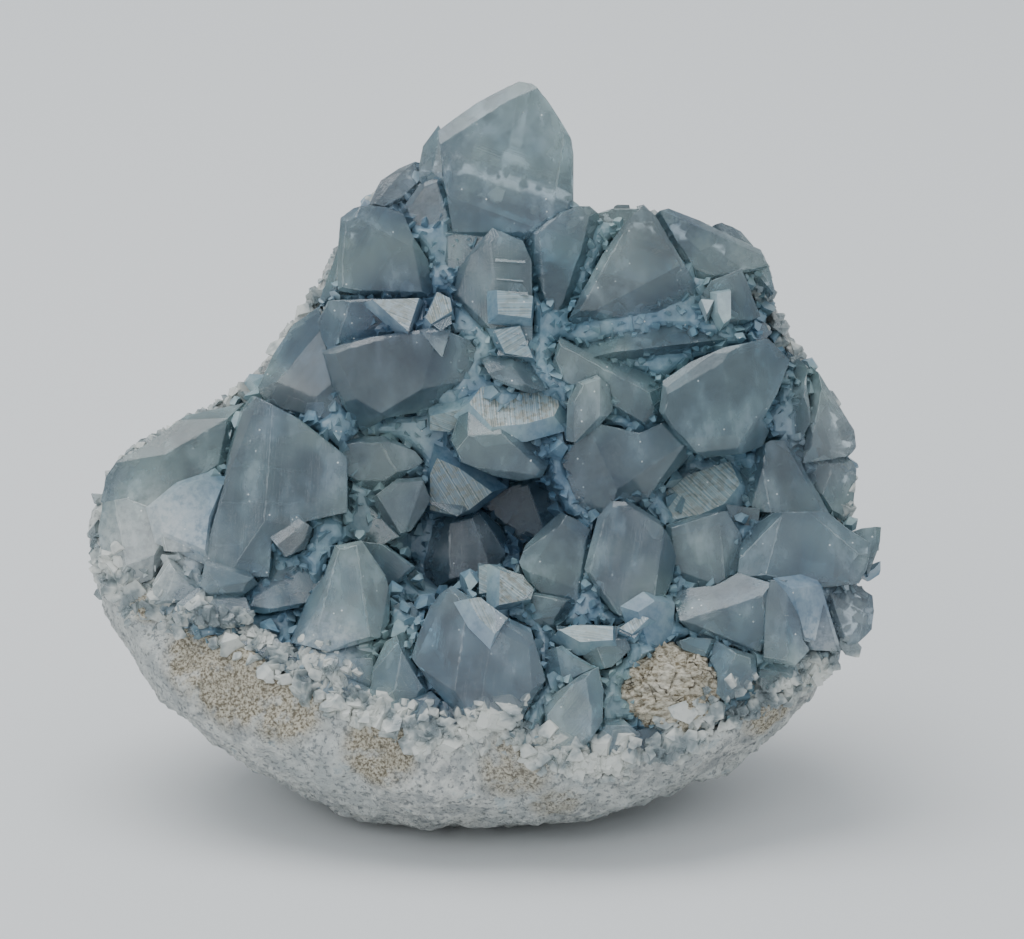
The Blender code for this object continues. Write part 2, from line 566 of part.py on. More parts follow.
    "lip_a": Crystal([(705, 682), (716, 640), (732, 648), (757, 656), (758, 676), (745, 692), (725, 702)],
                     31.5, (0, -0.2), [(730, 665, 150, 0.5), (742, 680, -40, 0.5)], 0.8),
    "lip_b": Crystal([(756, 655), (797, 661), (803, 683), (771, 691), (757, 680)], 27.6, (-0.13, -0.24),
                     [(780, 672, 80, 0.4)], 0.8),
    "lip_c": Crystal([(800, 650), (840, 650), (842, 664), (820, 682), (800, 678)], 24.5, (-0.2, -0.1),
                     [(822, 662, 20, 0.5)], 0.8),
    "hexagon": Crystal(
        [(224, 489), (232, 453), (245, 412), (258, 397), (300, 419), (348, 457), (348, 512), (308, 521),
         (272, 537), (269, 577), (215, 577), (204, 560)],
        25, (-0.03, -0.1), [(268, 470, 176, 0.4), (322, 432, 58, 1.5), (258, 520, -100, 0.22), (250, 420, 130, 0.6)],
        0.5),
    "hexagon_foot": Crystal([(200, 586), (205, 560), (250, 572), (258, 584), (240, 598), (214, 600)],
                            26, (0, -0.2), [(230, 585, -80, 0.5)], 0.7),
    "far_left": Crystal(
        [(97, 502), (101, 478), (112, 460), (135, 447), (158, 431), (180, 412), (205, 407), (243, 399),
         (246, 420), (233, 455), (226, 489), (198, 484), (157, 512), (120, 515)],
        17, (0.13, -0.33), [(190, 440, 120, 0.5), (130, 490, 190, 0.5), (165, 455, 160, 0.2)], 1.2),
    "far_left_low": Crystal(
        [(93, 530), (98, 502), (125, 498), (158, 510), (166, 548), (150, 580), (122, 590), (97, 562)],
        20, (0.1, -0.1), [(120, 530, 190, 0.5), (140, 560, -70, 0.6)], 1.0),
    "blue_left": Crystal(
        [(156, 509), (180, 488), (202, 480), (224, 488), (208, 507), (206, 542), (194, 553), (164, 551)],
        22.5, (0, -0.08), [(190, 520, 0, 0.5), (180, 500, 110, 0.5)], 0.7),
    "grey_left": Crystal([(150, 584), (165, 556), (192, 580), (200, 590), (178, 603), (154, 604)],
                         24, (0, -0.15), [(172, 580, 160, 0.6)], 0.7),
    "frost_left": Crystal([(176, 604), (195, 588), (245, 598), (252, 612), (238, 626), (180, 622)],
                          26.5, (0, -0.25), [(215, 610, 80, 0.4)], 0.8),
    "glass_knob": Crystal([(271, 538), (280, 522), (297, 516), (313, 528), (306, 549), (285, 557)],
                          26.5, (0, -0.15), [(290, 535, 130, 0.8), (300, 545, -40, 0.7)], 0.7),
    "slate": Crystal(
        [(245, 611), (256, 585), (269, 572), (271, 545), (300, 558), (324, 555), (326, 575), (310, 598),
         (298, 608), (265, 614)],
        24, (0.05, -0.2), [(285, 580, 120, 0.3)], 0.7),
    "slate_right": Crystal([(306, 522), (347, 511), (352, 530), (335, 547), (322, 559), (300, 559)],
                           20, (0.15, 0), [(330, 535, 20, 0.4)], 0.6),
    "grey_upper": Crystal(
        [(345, 478), (344, 441), (366, 436), (390, 437), (416, 452), (424, 462), (398, 481), (373, 493)],
        17, (0.02, 0.05), [(390, 460, 30, 0.4), (370, 480, -90, 0.6)], 0.8),
    "grey_lower": Crystal([(397, 479), (422, 477), (431, 500), (424, 513), (411, 531), (399, 534), (384, 520), (371, 499)],
                          18.5, (0.02, -0.02), [(415, 505, -20, 0.7)], 0.8),
    "grey_dark": Crystal([(346, 513), (347, 480), (372, 494), (385, 520), (401, 536), (380, 546), (355, 541)],
                         17, (0.2, -0.05), (), 0.6),
    "striated": Crystal(
        [(291, 642), (309, 597), (325, 576), (336, 545), (362, 540), (386, 575), (391, 592), (390, 621),
         (380, 638), (330, 652)],
        32.5, (0.02, -0.12), [(363, 590, 8, 0.55), (325, 600, 165, 0.4), (335, 640, -95, 0.4)], 0.8),
    "olive": Crystal([(361, 541), (386, 545), (416, 567), (400, 583), (386, 586)], 24, (0.1, 0.05), (), 0.5),
    "wall_upper": Crystal(
        [(256, 386), (270, 352), (290, 320), (318, 302), (324, 340), (334, 386), (346, 411), (330, 427),
         (300, 420), (262, 400)],
        16, (0.15, -0.2), [(295, 360, 140, 0.5), (318, 395, -50, 0.4), (300, 390, 250, 0.3)], 1.0),
    "wall_low": Crystal([(310, 424), (345, 410), (362, 432), (400, 420), (402, 441), (386, 438), (345, 444), (338, 440)],
                        15.5, (0.1, 0.1), (), 0.6),
    "pale_low_left": Crystal([(296, 643), (330, 650), (372, 640), (376, 660), (368, 694), (318, 684)],
                             33.5, (0, -0.2), [(335, 665, -100, 0.4), (350, 660, 20, 0.3)], 0.8),
    "blue_low_left": Crystal([(373, 668), (385, 642), (404, 630), (418, 641), (412, 660), (430, 690), (415, 704), (368, 702)],
                             35.5, (0, -0.15), [(400, 660, 170, 0.5), (395, 690, -95, 0.5)], 0.7),
    "frost_low_left": Crystal([(330, 652), (375, 690), (410, 702), (405, 722), (375, 716), (345, 700)],
                              34.5, (0, -0.3), (), 0.8),
    "fin": Crystal([(428, 728), (441, 704), (452, 715), (464, 735), (461, 748), (448, 751), (434, 742)],
                   38.6, (0.1, -0.2), [(447, 728, 170, 0.6)], 0.6, (446, 712, 24)),
    "fin_left": Crystal([(398, 716), (412, 700), (432, 692), (444, 704), (430, 730), (412, 736)],
                        37.4, (0, -0.2), [(420, 715, 150, 0.5)], 0.8, (420, 700, 24)),
    "glitter_low": Crystal([(390, 622), (394, 604), (412, 602), (419, 612), (418, 632), (402, 634)],
                           29, (0.1, -0.3), (), 0.5),
    "frost_front": Crystal([(458, 728), (478, 716), (520, 722), (538, 738), (520, 752), (468, 750)],
                           38.5, (0, -0.3), [(480, 735, 160, 0.5), (515, 738, 30, 0.4)], 0.7),
}

# The rungs of the bright ladder, small ledges one above the other: height on the chart, width and depth
RUNGS = [
    (260, 30, 3), (279, 27, 2), (292, 31, 4), (300, 30, 4), (308, 28, 4), (316, 25, 4), (330, 26, 6), (341, 32, 6),
    (352, 34, 7),
]
RUNG_LEFT = 495.4
RUNG_STAGGER = 0.9
RUNG_OUT = 19.2
RUNG_RISE = 0.11
RUNG_FACE = (0.0, -0.7)
RUNG_ROOT = (508, 12.0)
RUNG_ROOT_STEP = (2, 0.3)


def crystal_body(crystal, dice):
    """The crystal as a block over its outline, narrower at its root, that its facets and bevels cut off."""
    outline = [from_chart(x, y) for x, y in crystal.outline]
    turn = sum(a[0] * b[1] - b[0] * a[1] for a, b in zip(outline, outline[1:] + outline[:1]))
    if turn < 0:
        outline.reverse()
    middle = (sum(p[0] for p in outline) / len(outline), sum(p[1] for p in outline) / len(outline))
    dx, dy = middle[0] - HEART[0], middle[1] - HEART[1]
    share = math.hypot(dx, dy) / lip_radius(math.degrees(math.atan2(dy, dx)))
    rimward = min(1.0, max(0.0, (share - RIM_START) / RIM_CHANGE))
    spread = ROOT_SPREAD + (RIM_SPREAD - ROOT_SPREAD) * rimward
    if crystal.root:
        root = (*from_chart(crystal.root[0], crystal.root[1]), crystal.root[2])
    else:
        away = ROOT_AWAY - (ROOT_AWAY + RIM_ROOT_TOWARDS) * rimward
        across, up = middle[0] + away * dx, middle[1] + away * dy
        root = (across, up, min(bowl_out(across, up) - ROOT_SUNK, crystal.out - ROOT_LEAST))
    top = crystal.out + BLOCK_OVER
    span = crystal.out - root[2]
    bm = bmesh.new()
    low, high = [], []
    for across, up in outline:
        foot = (root[0] + spread * (across - middle[0]), root[1] + spread * (up - middle[1]))
        lift = (top - root[2]) / span
        low.append(bm.verts.new((foot[0], foot[1], root[2])))
        high.append(bm.verts.new((foot[0] + (across - foot[0]) * lift, foot[1] + (up - foot[1]) * lift, top)))
    bm.faces.new(low[::-1])
    bm.faces.new(high)
    for k in range(len(low)):
        nxt = (k + 1) % len(low)
        bm.faces.new((low[k], low[nxt], high[nxt], high[k]))

    def cut(point, slope):
        geometry = bm.verts[:] + bm.edges[:] + bm.faces[:]
        made = bmesh.ops.bisect_plane(bm, geom=geometry, plane_co=point, plane_no=(-slope[0], -slope[1], 1),
                                      clear_outer=True, dist=1e-5)
        rim = [e for e in made["geom_cut"] if isinstance(e, bmesh.types.BMEdge)]
        if rim:
            bmesh.ops.edgenet_fill(bm, edges=rim)

    def main_out(across, up):
        return crystal.out + crystal.slope[0] * (across - middle[0]) + crystal.slope[1] * (up - middle[1])

    cut((*middle, crystal.out), crystal.slope)
    for x, y, degrees, steep in crystal.falls:
        across, up = from_chart(x, y)
        angle = math.radians(degrees)
        slope = (crystal.slope[0] - steep * math.cos(angle), crystal.slope[1] - steep * math.sin(angle))
        cut((across, up, main_out(across, up)), slope)
    if crystal.bevel:
        for a, b in zip(outline, outline[1:] + outline[:1]):
            length = math.dist(a, b)
            inset = crystal.bevel * dice.uniform(*BEVEL_WIDTHS)
            steep = dice.uniform(*BEVEL_SLOPES)
            if length < BEVEL_LEAST_SIDE or dice.random() < BEVEL_SKIPPED:
                continue
            away = ((b[1] - a[1]) / length, (a[0] - b[0]) / length)
            across, up = (a[0] + b[0]) / 2 - away[0] * inset, (a[1] + b[1]) / 2 - away[1] * inset
            near = [
                v.co.z for v in bm.verts
                if abs((v.co.x - across) * away[0] + (v.co.y - up) * away[1]) < inset * 2.5
                and abs((v.co.x - across) * away[1] - (v.co.y - up) * away[0]) < length * 0.75
            ]
            if not near:
                continue
            slope = (crystal.slope[0] - steep * away[0], crystal.slope[1] - steep * away[1])
            cut((across, up, max(near) - BEVEL_BITE), slope)
    for vert in bm.verts:
        vert.co = world(*vert.co)
    bmesh.ops.remove_doubles(bm, verts=bm.verts, dist=0.05 * MM)
    bmesh.ops.recalc_face_normals(bm, faces=bm.faces)
    return bm


def crystals():
    """The crystals and the crust that they grow from, in one, where the rind and the lump leave room."""
    grown = new_object("crystals", crust())
    everything = dict(CRYSTALS)
    for k, (y, width, depth) in enumerate(RUNGS):
        left = RUNG_LEFT + RUNG_STAGGER * (k % 3)
        right, top, foot = left + width, y - depth / 2, y + depth / 2
        outline = [(left, top), (right, top + 2), (right, foot + 2), (left, foot)]
        root = (RUNG_ROOT[0] + RUNG_ROOT_STEP[0] * k, y, RUNG_ROOT[1] + RUNG_ROOT_STEP[1] * k)
        everything["rung_%d" % k] = Crystal(outline, RUNG_OUT + RUNG_RISE * k, RUNG_FACE, (), 0, root)
    waiting = list(enumerate(everything.values()))
    while waiting:
        left = []
        for k, crystal in waiting:
            def shape(attempt):
                return crystal_body(crystal, random.Random(k + 100 * attempt))
            if not combine(grown, "UNION", shape, NOTHING_LOST):
                left.append((k, crystal))
        if len(left) == len(waiting):
            raise RuntimeError("%d crystals can't be joined" % len(left))
        waiting = left
    must(combine(grown, "DIFFERENCE", lambda attempt: lump(GAP), LITTLE_LOST))
    must(combine(grown, "INTERSECT", lambda attempt: room_body(GAP), HALF_LOST))
    return grown


def lump(grow=0.0):
    """A crumb of the marl that the nodule lay in, caught among the crystals at the lip."""
    bm = bmesh.new()
    bmesh.ops.create_icosphere(bm, subdivisions=LUMP_FINENESS, radius=1.0)
    across, up = from_chart(*LUMP_MIDDLE)
    for vert in bm.verts:
        way = vert.co.normalized()
        (wide, high), (narrow, low) = LUMP_WAVES
        rough = 1 + high * noise.noise(way * wide + Vector((3, 1, 7))) + low * noise.noise(way * narrow)
        reach = [size * rough + grow for size in LUMP_SIZE]
        vert.co = world(across + way.x * reach[0], up + way.y * reach[1], LUMP_OUT + way.z * reach[2])
    bmesh.ops.recalc_face_normals(bm, faces=bm.faces)
    return bm


def material(name, colour, roughness):
    """A finish with its colour and roughness; none of them is metal."""
    finish = bpy.data.materials.new(name)
    finish.use_nodes = True
    shader = finish.node_tree.nodes["Principled BSDF"]
    shader.inputs["Base Color"].default_value = (*colour, 1.0)
    shader.inputs["Roughness"].default_value = roughness
    shader.inputs["Metallic"].default_value = 0.0
    return finish


def main():
    clear_scene()
    druse, shell, crumb = crystals(), rind(), new_object("marl_lump", lump())
    druse.data.materials.append(material("celestite", (0.24, 0.36, 0.43), 0.25))
    shell.data.materials.append(material("rind", (0.52, 0.52, 0.48), 0.9))
    crumb.data.materials.append(material("marl", (0.42, 0.37, 0.28), 0.95))


main()
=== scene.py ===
"""Looks of the celestite cluster: see-through blue crystals, a frosty lip, the rough rind and the marl."""

import functools
import math
import random

import bmesh
import bpy
import numpy as np
from mathutils import Matrix, Vector, noise
from mathutils.bvhtree import BVHTree


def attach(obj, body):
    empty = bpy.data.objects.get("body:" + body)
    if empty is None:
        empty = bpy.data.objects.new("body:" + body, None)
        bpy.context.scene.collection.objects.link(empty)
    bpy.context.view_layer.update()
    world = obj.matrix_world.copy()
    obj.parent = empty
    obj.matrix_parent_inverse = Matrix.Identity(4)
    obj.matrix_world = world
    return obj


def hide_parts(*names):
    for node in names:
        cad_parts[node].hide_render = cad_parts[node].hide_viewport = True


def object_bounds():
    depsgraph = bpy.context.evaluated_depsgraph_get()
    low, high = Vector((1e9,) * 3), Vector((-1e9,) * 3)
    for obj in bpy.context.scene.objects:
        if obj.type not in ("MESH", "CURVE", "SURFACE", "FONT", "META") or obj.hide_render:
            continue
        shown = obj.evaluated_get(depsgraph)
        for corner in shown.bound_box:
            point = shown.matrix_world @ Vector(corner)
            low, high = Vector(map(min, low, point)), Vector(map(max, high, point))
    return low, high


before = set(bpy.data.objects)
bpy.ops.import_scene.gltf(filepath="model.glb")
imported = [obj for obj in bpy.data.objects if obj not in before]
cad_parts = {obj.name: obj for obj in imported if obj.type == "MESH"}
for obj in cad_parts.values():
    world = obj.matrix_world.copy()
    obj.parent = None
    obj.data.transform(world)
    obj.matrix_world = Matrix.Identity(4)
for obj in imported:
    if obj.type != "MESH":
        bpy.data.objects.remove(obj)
CAD_BOX = [list(corner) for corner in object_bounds()]
MM = 0.001

# Where the photograph was taken from, and its pixels as places in space
FACE_LEAN = math.radians(18)
SIGHT = 1200 * MM
LENS = 281.25
PIXEL = 0.15 * MM
MIDDLE = (512, 469.5)
TARGET = Vector((3.3, 14.95, 46.0)) * MM
BACK = Vector((0, -math.cos(FACE_LEAN), math.sin(FACE_LEAN)))
UPWARD = Vector((0, math.sin(FACE_LEAN), math.cos(FACE_LEAN)))
RIGHT = Vector((1, 0, 0))
EYE = TARGET + BACK * SIGHT

MERGE_WITHIN = 0.01 * MM
FLAT_WITHIN = math.radians(0.8)


def sight_line(x, y):
    """The direction in which the camera sees a pixel of the photograph."""
    aim = TARGET + RIGHT * (x - MIDDLE[0]) * PIXEL + UPWARD * (MIDDLE[1] - y) * PIXEL
    return (aim - EYE).normalized()


def solid_of(node):
    """A bmesh of a CAD node with its loose triangles merged."""
    bm = bmesh.new()
    bm.from_mesh(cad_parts[node].data)
    bmesh.ops.remove_doubles(bm, verts=bm.verts, dist=MERGE_WITHIN)
    return bm


def tree_of(*nodes):
    """The surface of CAD nodes, for finding places on it."""
    bm = bmesh.new()
    for node in nodes:
        bm.from_mesh(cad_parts[node].data)
    tree = BVHTree.FromBMesh(bm)
    bm.free()
    return tree


CRYSTAL_TREE = tree_of("crystals")
RIND_TREE = tree_of("rind")
WHOLE_TREE = tree_of("crystals", "rind", "marl_lump")


def seen_at(x, y):
    """The place of the solids that a pixel shows, or the nearest to it."""
    hit = WHOLE_TREE.ray_cast(EYE, sight_line(x, y))[0]
    return hit or WHOLE_TREE.find_nearest(EYE + sight_line(x, y) * SIGHT)[0]


# Materials


class Field:
    """A value, colour or vector that changes over a surface, for use in expressions."""

    def __init__(self, finish, socket):
        self.finish = finish
        self.socket = socket

    def math(self, operation, *others, swap=False):
        operands = (others[0], self) if swap else (self, *others)
        return self.finish.node("ShaderNodeMath", {"operation": operation}, *operands)

    def __add__(self, other):
        return self.math("ADD", other)

    def __radd__(self, other):
        return self.math("ADD", other)

    def __sub__(self, other):
        return self.math("SUBTRACT", other)

    def __rsub__(self, other):
        return self.math("SUBTRACT", other, swap=True)

    def __mul__(self, other):
        return self.math("MULTIPLY", other)

    def __rmul__(self, other):
        return self.math("MULTIPLY", other)

    def either(self, other):
        return self.math("MAXIMUM", other)

    def clamp(self, low=0.0, high=1.0):
        return self.finish.node("ShaderNodeClamp", {}, self, low, high)

    def step(self, low, high):
        """From 0 at low to 1 at high, eased."""
        settings = {"interpolation_type": "SMOOTHSTEP"}
        return self.finish.node("ShaderNodeMapRange", settings, self, low, high, 0.0, 1.0)


def shade(red, green, blue):
    """The colour of a surface that looks like this on a screen, from 0 to 255."""
    return tuple((value / 255) ** 2.2 for value in (red, green, blue))


class Finish:
    """A procedural material."""

    def __init__(self, name):
        self.material = bpy.data.materials.new(name)
        self.material.use_nodes = True
        self.tree = self.material.node_tree
        self.tree.nodes.clear()
        self.output = self.tree.nodes.new("ShaderNodeOutputMaterial")
        coordinates = self.tree.nodes.new("ShaderNodeTexCoord")
        in_metres = Field(self, coordinates.outputs["Object"])
        self.place = self.node("ShaderNodeVectorMath", {"operation": "SCALE"}, in_metres, Scale=1 / MM)

    def node(self, kind, settings, *values, out=0, first=0, **named):
        """Adds a shader node: its settings, the values of its inputs from the first on, and named inputs."""
        node = self.tree.nodes.new(kind)
        for key, value in settings.items():
            setattr(node, key, value)
        sockets = [*zip(node.inputs[first:], values)]
        sockets += [(node.inputs[key], value) for key, value in named.items()]
        for socket, value in sockets:
            if isinstance(value, Field):
                self.tree.links.new(value.socket, socket)
            elif value is not None:
                socket.default_value = value
        return Field(self, node.outputs[out])

    def noise(self, size, detail=3.0, roughness=0.5, stretch=(1, 1, 1), turn=(0, 0, 0)):
        """Noise from about 0 to 1 whose lumps are this many millimetres across."""
        where = self.node("ShaderNodeMapping", {}, self.place, Rotation=turn, Scale=stretch)
        sockets = {"Vector": where, "Scale": 1 / size, "Detail": detail, "Roughness": roughness}
        return self.node("ShaderNodeTexNoise", {}, **sockets)

    def lines(self, across, size, detail=2.0):
        """Parallel lines of uneven width, about this many millimetres apart, across a distance."""
        settings = {"noise_dimensions": "1D"}
        sockets = {"W": across, "Scale": 1 / size, "Detail": detail, "Roughness": 0.6}
        return self.node("ShaderNodeTexNoise", settings, **sockets)

    def cells(self, size, feature="F1"):
        """How far a place is from the middle, or the edge, of cells this many millimetres across."""
        settings = {"feature": feature}
        return self.node("ShaderNodeTexVoronoi", settings, Vector=self.place, Scale=1 / size, out="Distance")

    def mix(self, factor, first, second, blend="MIX"):
        """A colour between two colours."""
        settings = {"data_type": "RGBA", "blend_type": blend, "clamp_factor": True}
        first, second = (c if isinstance(c, Field) else (*c, 1.0) for c in (first, second))
        return self.node("ShaderNodeMix", settings, first, second, out=2, first=6, Factor=factor)

    def near(self, x, y, reach, soft=0.6):
        """One within this many millimetres of what a pixel shows, fading to nothing beyond it."""
        place = tuple(seen_at(x, y) / MM)
        away = self.node("ShaderNodeVectorMath", {"operation": "DISTANCE"}, self.place, place, out="Value")
        return 1 - away.step(reach * (1 - soft), reach)

    def attribute(self, name, out="Fac"):
        """What a piece's mesh carries under this name."""
        return self.node("ShaderNodeAttribute", {"attribute_name": name}, out=out)

    def bump(self, height, distance, strength=1.0):
        """A normal from a height, where a height of 1 is this many millimetres."""
        return self.node("ShaderNodeBump", {}, Strength=strength, Distance=distance * MM, Height=height)

    def surface(self, colour, roughness, normal=None, **others):
        """A Principled surface. Other sockets are named with underscores for spaces."""
        sockets = {"Base Color": colour, "Roughness": roughness, "Normal": normal}
        sockets.update({key.replace("_", " "): value for key, value in others.items()})
        return self.node("ShaderNodeBsdfPrincipled", {}, **sockets)

    def finish(self, shader, volume=None):
        """Ends the material and hands it over."""
        self.tree.links.new(shader.socket, self.output.inputs["Surface"])
        if volume:
            self.tree.links.new(volume.socket, self.output.inputs["Volume"])
        return self.material


WATER_BLUE = shade(108, 152, 180)
GREY_GREEN = shade(140, 170, 168)
MILK = shade(196, 208, 212)
NAVY = shade(42, 90, 126)
INK = shade(36, 76, 108)
TEAL = shade(92, 146, 158)
SLATE = shade(108, 134, 164)
# Straw colours: the painted reflection of the light on facets that catch it
STRAW_SHEEN = shade(138, 142, 134)
DARK_STRAW_SHEEN = shade(88, 102, 102)
FROST = shade(216, 219, 216)
CELESTITE_IOR = 1.62
WATER_ABSORPTION = (0.38, 0.72, 0.83, 1.0)
WATER_DENSITY = 18.0
CLOUDINESS = 0.12
SMALL_FROSTING = 0.1
WHITE = (1, 1, 1)

# Where the crystals' colour changes: pixel, reach in mm, colour and how much of it
# The navy ones, in the hollow's deep middle and on dark facets, are partly the crystals' deeper blue and
# partly painted shade.
CRYSTAL_TINTS_AND_SHADE = (
    ((515, 505), 26, NAVY, 0.8), ((500, 560), 13, NAVY, 0.4), ((400, 330), 15, NAVY, 0.9),
    ((545, 300), 15, TEAL, 0.5), ((700, 400), 20, TEAL, 0.6), ((640, 470), 12, NAVY, 0.35),
    ((345, 480), 10, NAVY, 0.3), ((640, 260), 11, GREY_GREEN, 0.7), ((520, 110), 13, GREY_GREEN, 0.7),
    ((520, 210), 7, SLATE, 0.6), ((395, 180), 9, MILK, 0.5), ((185, 440), 17, GREY_GREEN, 0.8),
    ((280, 470), 11, TEAL, 0.35), ((150, 555), 12, FROST, 0.6), ((480, 660), 16, SLATE, 0.7),
    ((790, 570), 17, SLATE, 0.5), ((820, 440), 11, MILK, 0.5), ((730, 240), 9, MILK, 0.4),
    ((840, 610), 9, MILK, 0.5), ((815, 620), 5, NAVY, 0.5), ((370, 590), 8, GREY_GREEN, 0.6),
    ((293, 535), 4, STRAW_SHEEN, 0.5), ((700, 495), 7, STRAW_SHEEN, 0.3), ((290, 395), 5, FROST, 0.5),
)

# Crystals under a granular frost: pixel and reach in mm
HAZY_PLACES = (((140, 565), 17), ((820, 660), 9), ((330, 650), 8))
HAZE_SOFTNESS = 0.7


def anywhere(fields):
    """The greatest of several fields at each place."""
    return functools.reduce(Field.either, fields)


def growth_lines(f, fine, gleam):
    """Fine parallel lines along a facet, and how plainly they show there."""
    return f.lines(f.attribute("grain") + fine * 0.25, 0.22), gleam.either(0.12)


def water_colour(f, clouds, wisps, tone_light_and_shade):
    """Blue to grey-green crystal with the tints of its places and their painted shade and light, milky wisps,
    and facets made darker or paler by random tone and by painted shade and light.
    """
    colour = f.mix(clouds.step(0.32, 0.68), WATER_BLUE, GREY_GREEN)
    colour = f.mix(f.attribute("tint_light_and_shade", "Alpha"), colour, f.attribute("tint_light_and_shade", "Color"))
    # Darker facets: random tone and painted shade. Paler facets: random tone and painted light.
    colour = f.mix((tone_light_and_shade * -1).clamp() * 0.55, colour, INK)
    colour = f.mix(tone_light_and_shade.clamp() * 0.8, colour, MILK)
    return f.mix(wisps.step(0.52, 0.8) * 0.28, colour, MILK)


def gleaming(f, colour, fine, gleam, lines, lined):
    """The colour with pale growth lines, and a straw-coloured painted reflection where a facet catches the
    light.
    """
    colour = f.mix(lined * lines.step(0.5, 0.62) * 0.15, colour, FROST)
    straw_sheen = f.mix(lines.step(0.38, 0.5), DARK_STRAW_SHEEN, STRAW_SHEEN)
    straw_sheen = f.mix(lines.step(0.56, 0.62) * fine.step(0.4, 0.6) * 0.8, straw_sheen, FROST)
    return f.mix(gleam * (0.35 + fine.step(0.6, 0.4) * 0.65), colour, straw_sheen)


def celestite(name, frosting=0.0):
    """Crystal: clear parts that let light through, and milky ones. Large crystals also dim what is behind
    them, and small ones, which have some frosting, are mostly milky."""
    f = Finish(name)
    clouds = f.noise(12, 3, 0.55)
    wisps = f.noise(4.2, 4, 0.6, stretch=(1, 1, 0.5), turn=(0.3, 0.5, 0))
    fine = f.noise(1.1, 3, 0.65)
    tone_light_and_shade = f.attribute("tone_light_and_shade")
    gleam = f.attribute("gleam")
    wear = f.attribute("wear") * clouds.step(0.45, 0.62)
    lines, lined = growth_lines(f, fine, gleam)
    colour = gleaming(f, water_colour(f, clouds, wisps, tone_light_and_shade), fine, gleam, lines, lined)
    # White specks: painted glints off tiny chips
    glints = (1 - f.cells(1.5).step(0.05, 0.12)) * wisps.step(0.52, 0.58)
    hazy = anywhere(f.near(x, y, reach, HAZE_SOFTNESS) for (x, y), reach in HAZY_PLACES)
    hazy = hazy * (0.4 + fine.step(0.3, 0.65) * 0.6)
    pale = (wear * 0.16 + frosting * fine.step(0.3, 0.6) + glints * 0.9 + hazy * 0.5).clamp()
    height = f.noise(6, 1, 0.5) * 1.6 + fine * (0.15 + frosting) + lines * lined * 0.9
    normal = f.bump(height, 0.16, 0.8)
    see_through = f.surface(
        f.mix(0.42, colour, WHITE), 0.05 + fine * 0.07 + wear * 0.3, normal,
        IOR=CELESTITE_IOR, Transmission_Weight=0.95,
    )
    milky = f.surface(f.mix(pale, colour, FROST), 0.28 + fine * 0.2, normal, IOR=CELESTITE_IOR)
    cloudy = CLOUDINESS + frosting * 5 + clouds.step(0.35, 0.7) * 0.2 + wisps.step(0.45, 0.75) * 0.25
    # Gleaming facets turn milky so that their painted reflection shows.
    cloudy = (cloudy + pale * 0.7 + gleam * 0.75 + (tone_light_and_shade * -1).clamp() * 0.12).clamp()
    shader = f.node("ShaderNodeMixShader", {}, cloudy, see_through, milky)
    if frosting:
        return f.finish(shader)
    return f.finish(shader, f.node("ShaderNodeVolumeAbsorption", {}, WATER_ABSORPTION, WATER_DENSITY))


def frost():
    """White to grey frosted crystal, which lets a little light in."""
    f = Finish("frost")
    fine = f.noise(0.8, 4, 0.65)
    blotch = f.noise(5, 3, 0.6)
    colour = f.mix(blotch.step(0.36, 0.6), shade(158, 178, 184), shade(216, 219, 213))
    colour = f.mix(fine.step(0.55, 0.75) * 0.4, colour, shade(136, 152, 156))
    glassy = f.surface(
        f.mix(0.5, colour, WHITE), 0.12, f.bump(fine, 0.15, 0.6), IOR=CELESTITE_IOR, Transmission_Weight=0.9
    )
    dull = f.surface(colour, 0.45 + fine * 0.3, f.bump(fine, 0.2, 0.8))
    dullness = (0.25 + blotch.step(0.36, 0.6) * 0.55).clamp()
    return f.finish(f.node("ShaderNodeMixShader", {}, dullness, glassy, dull))


# The rind's sandy patches: pixel, reach in mm and how brown
SANDY_PATCHES = (
    ((205, 655), 8, 0.9), ((240, 680), 9, 1.0), ((285, 700), 8, 0.9), ((150, 602), 4, 0.7),
    ((380, 750), 7, 0.9), ((515, 770), 7, 0.6), ((555, 805), 5, 0.5), ((765, 700), 7, 0.9),
    ((790, 690), 5, 0.7),
)


def rind_stone():
    """Grainy grey-white stone with dark pits and sandy patches."""
    f = Finish("rind_stone")
    grain = f.noise(0.9, 3, 0.75)
    blotch = f.noise(3.2, 3, 0.7)
    colour = f.mix(blotch.step(0.35, 0.65), shade(156, 160, 160), shade(214, 215, 209))
    colour = f.mix(f.noise(16, 2, 0.5).step(0.4, 0.62) * 0.5, colour, shade(186, 192, 190))
    colour = f.mix(grain.step(0.5, 0.36) * 0.8, colour, shade(110, 116, 118))
    near_sand = anywhere(f.near(x, y, reach, 0.5) * amount for (x, y), reach, amount in SANDY_PATCHES)
    sandy = (near_sand * (0.45 + f.noise(2.4, 3, 0.6).step(0.30, 0.55))).clamp()
    crumbs = f.noise(0.45, 3, 0.8)
    colour = f.mix(sandy, colour, f.mix(crumbs.step(0.4, 0.6), shade(104, 97, 82), shade(190, 184, 166)))
    pits = (1 - f.cells(1.1).step(0.12, 0.36)) * f.noise(3, 3, 0.7).step(0.5, 0.62)
    colour = f.mix(pits * 0.75, colour, shade(90, 94, 92))
    glassy = blotch.step(0.58, 0.7) * (1 - near_sand)
    colour = f.mix(glassy * 0.6, colour, shade(150, 166, 172))
    height = grain + crumbs * 0.4 + blotch * 1.2
    return f.finish(f.surface(colour, 0.82 - glassy * 0.4, f.bump(height, 0.45, 0.9)))


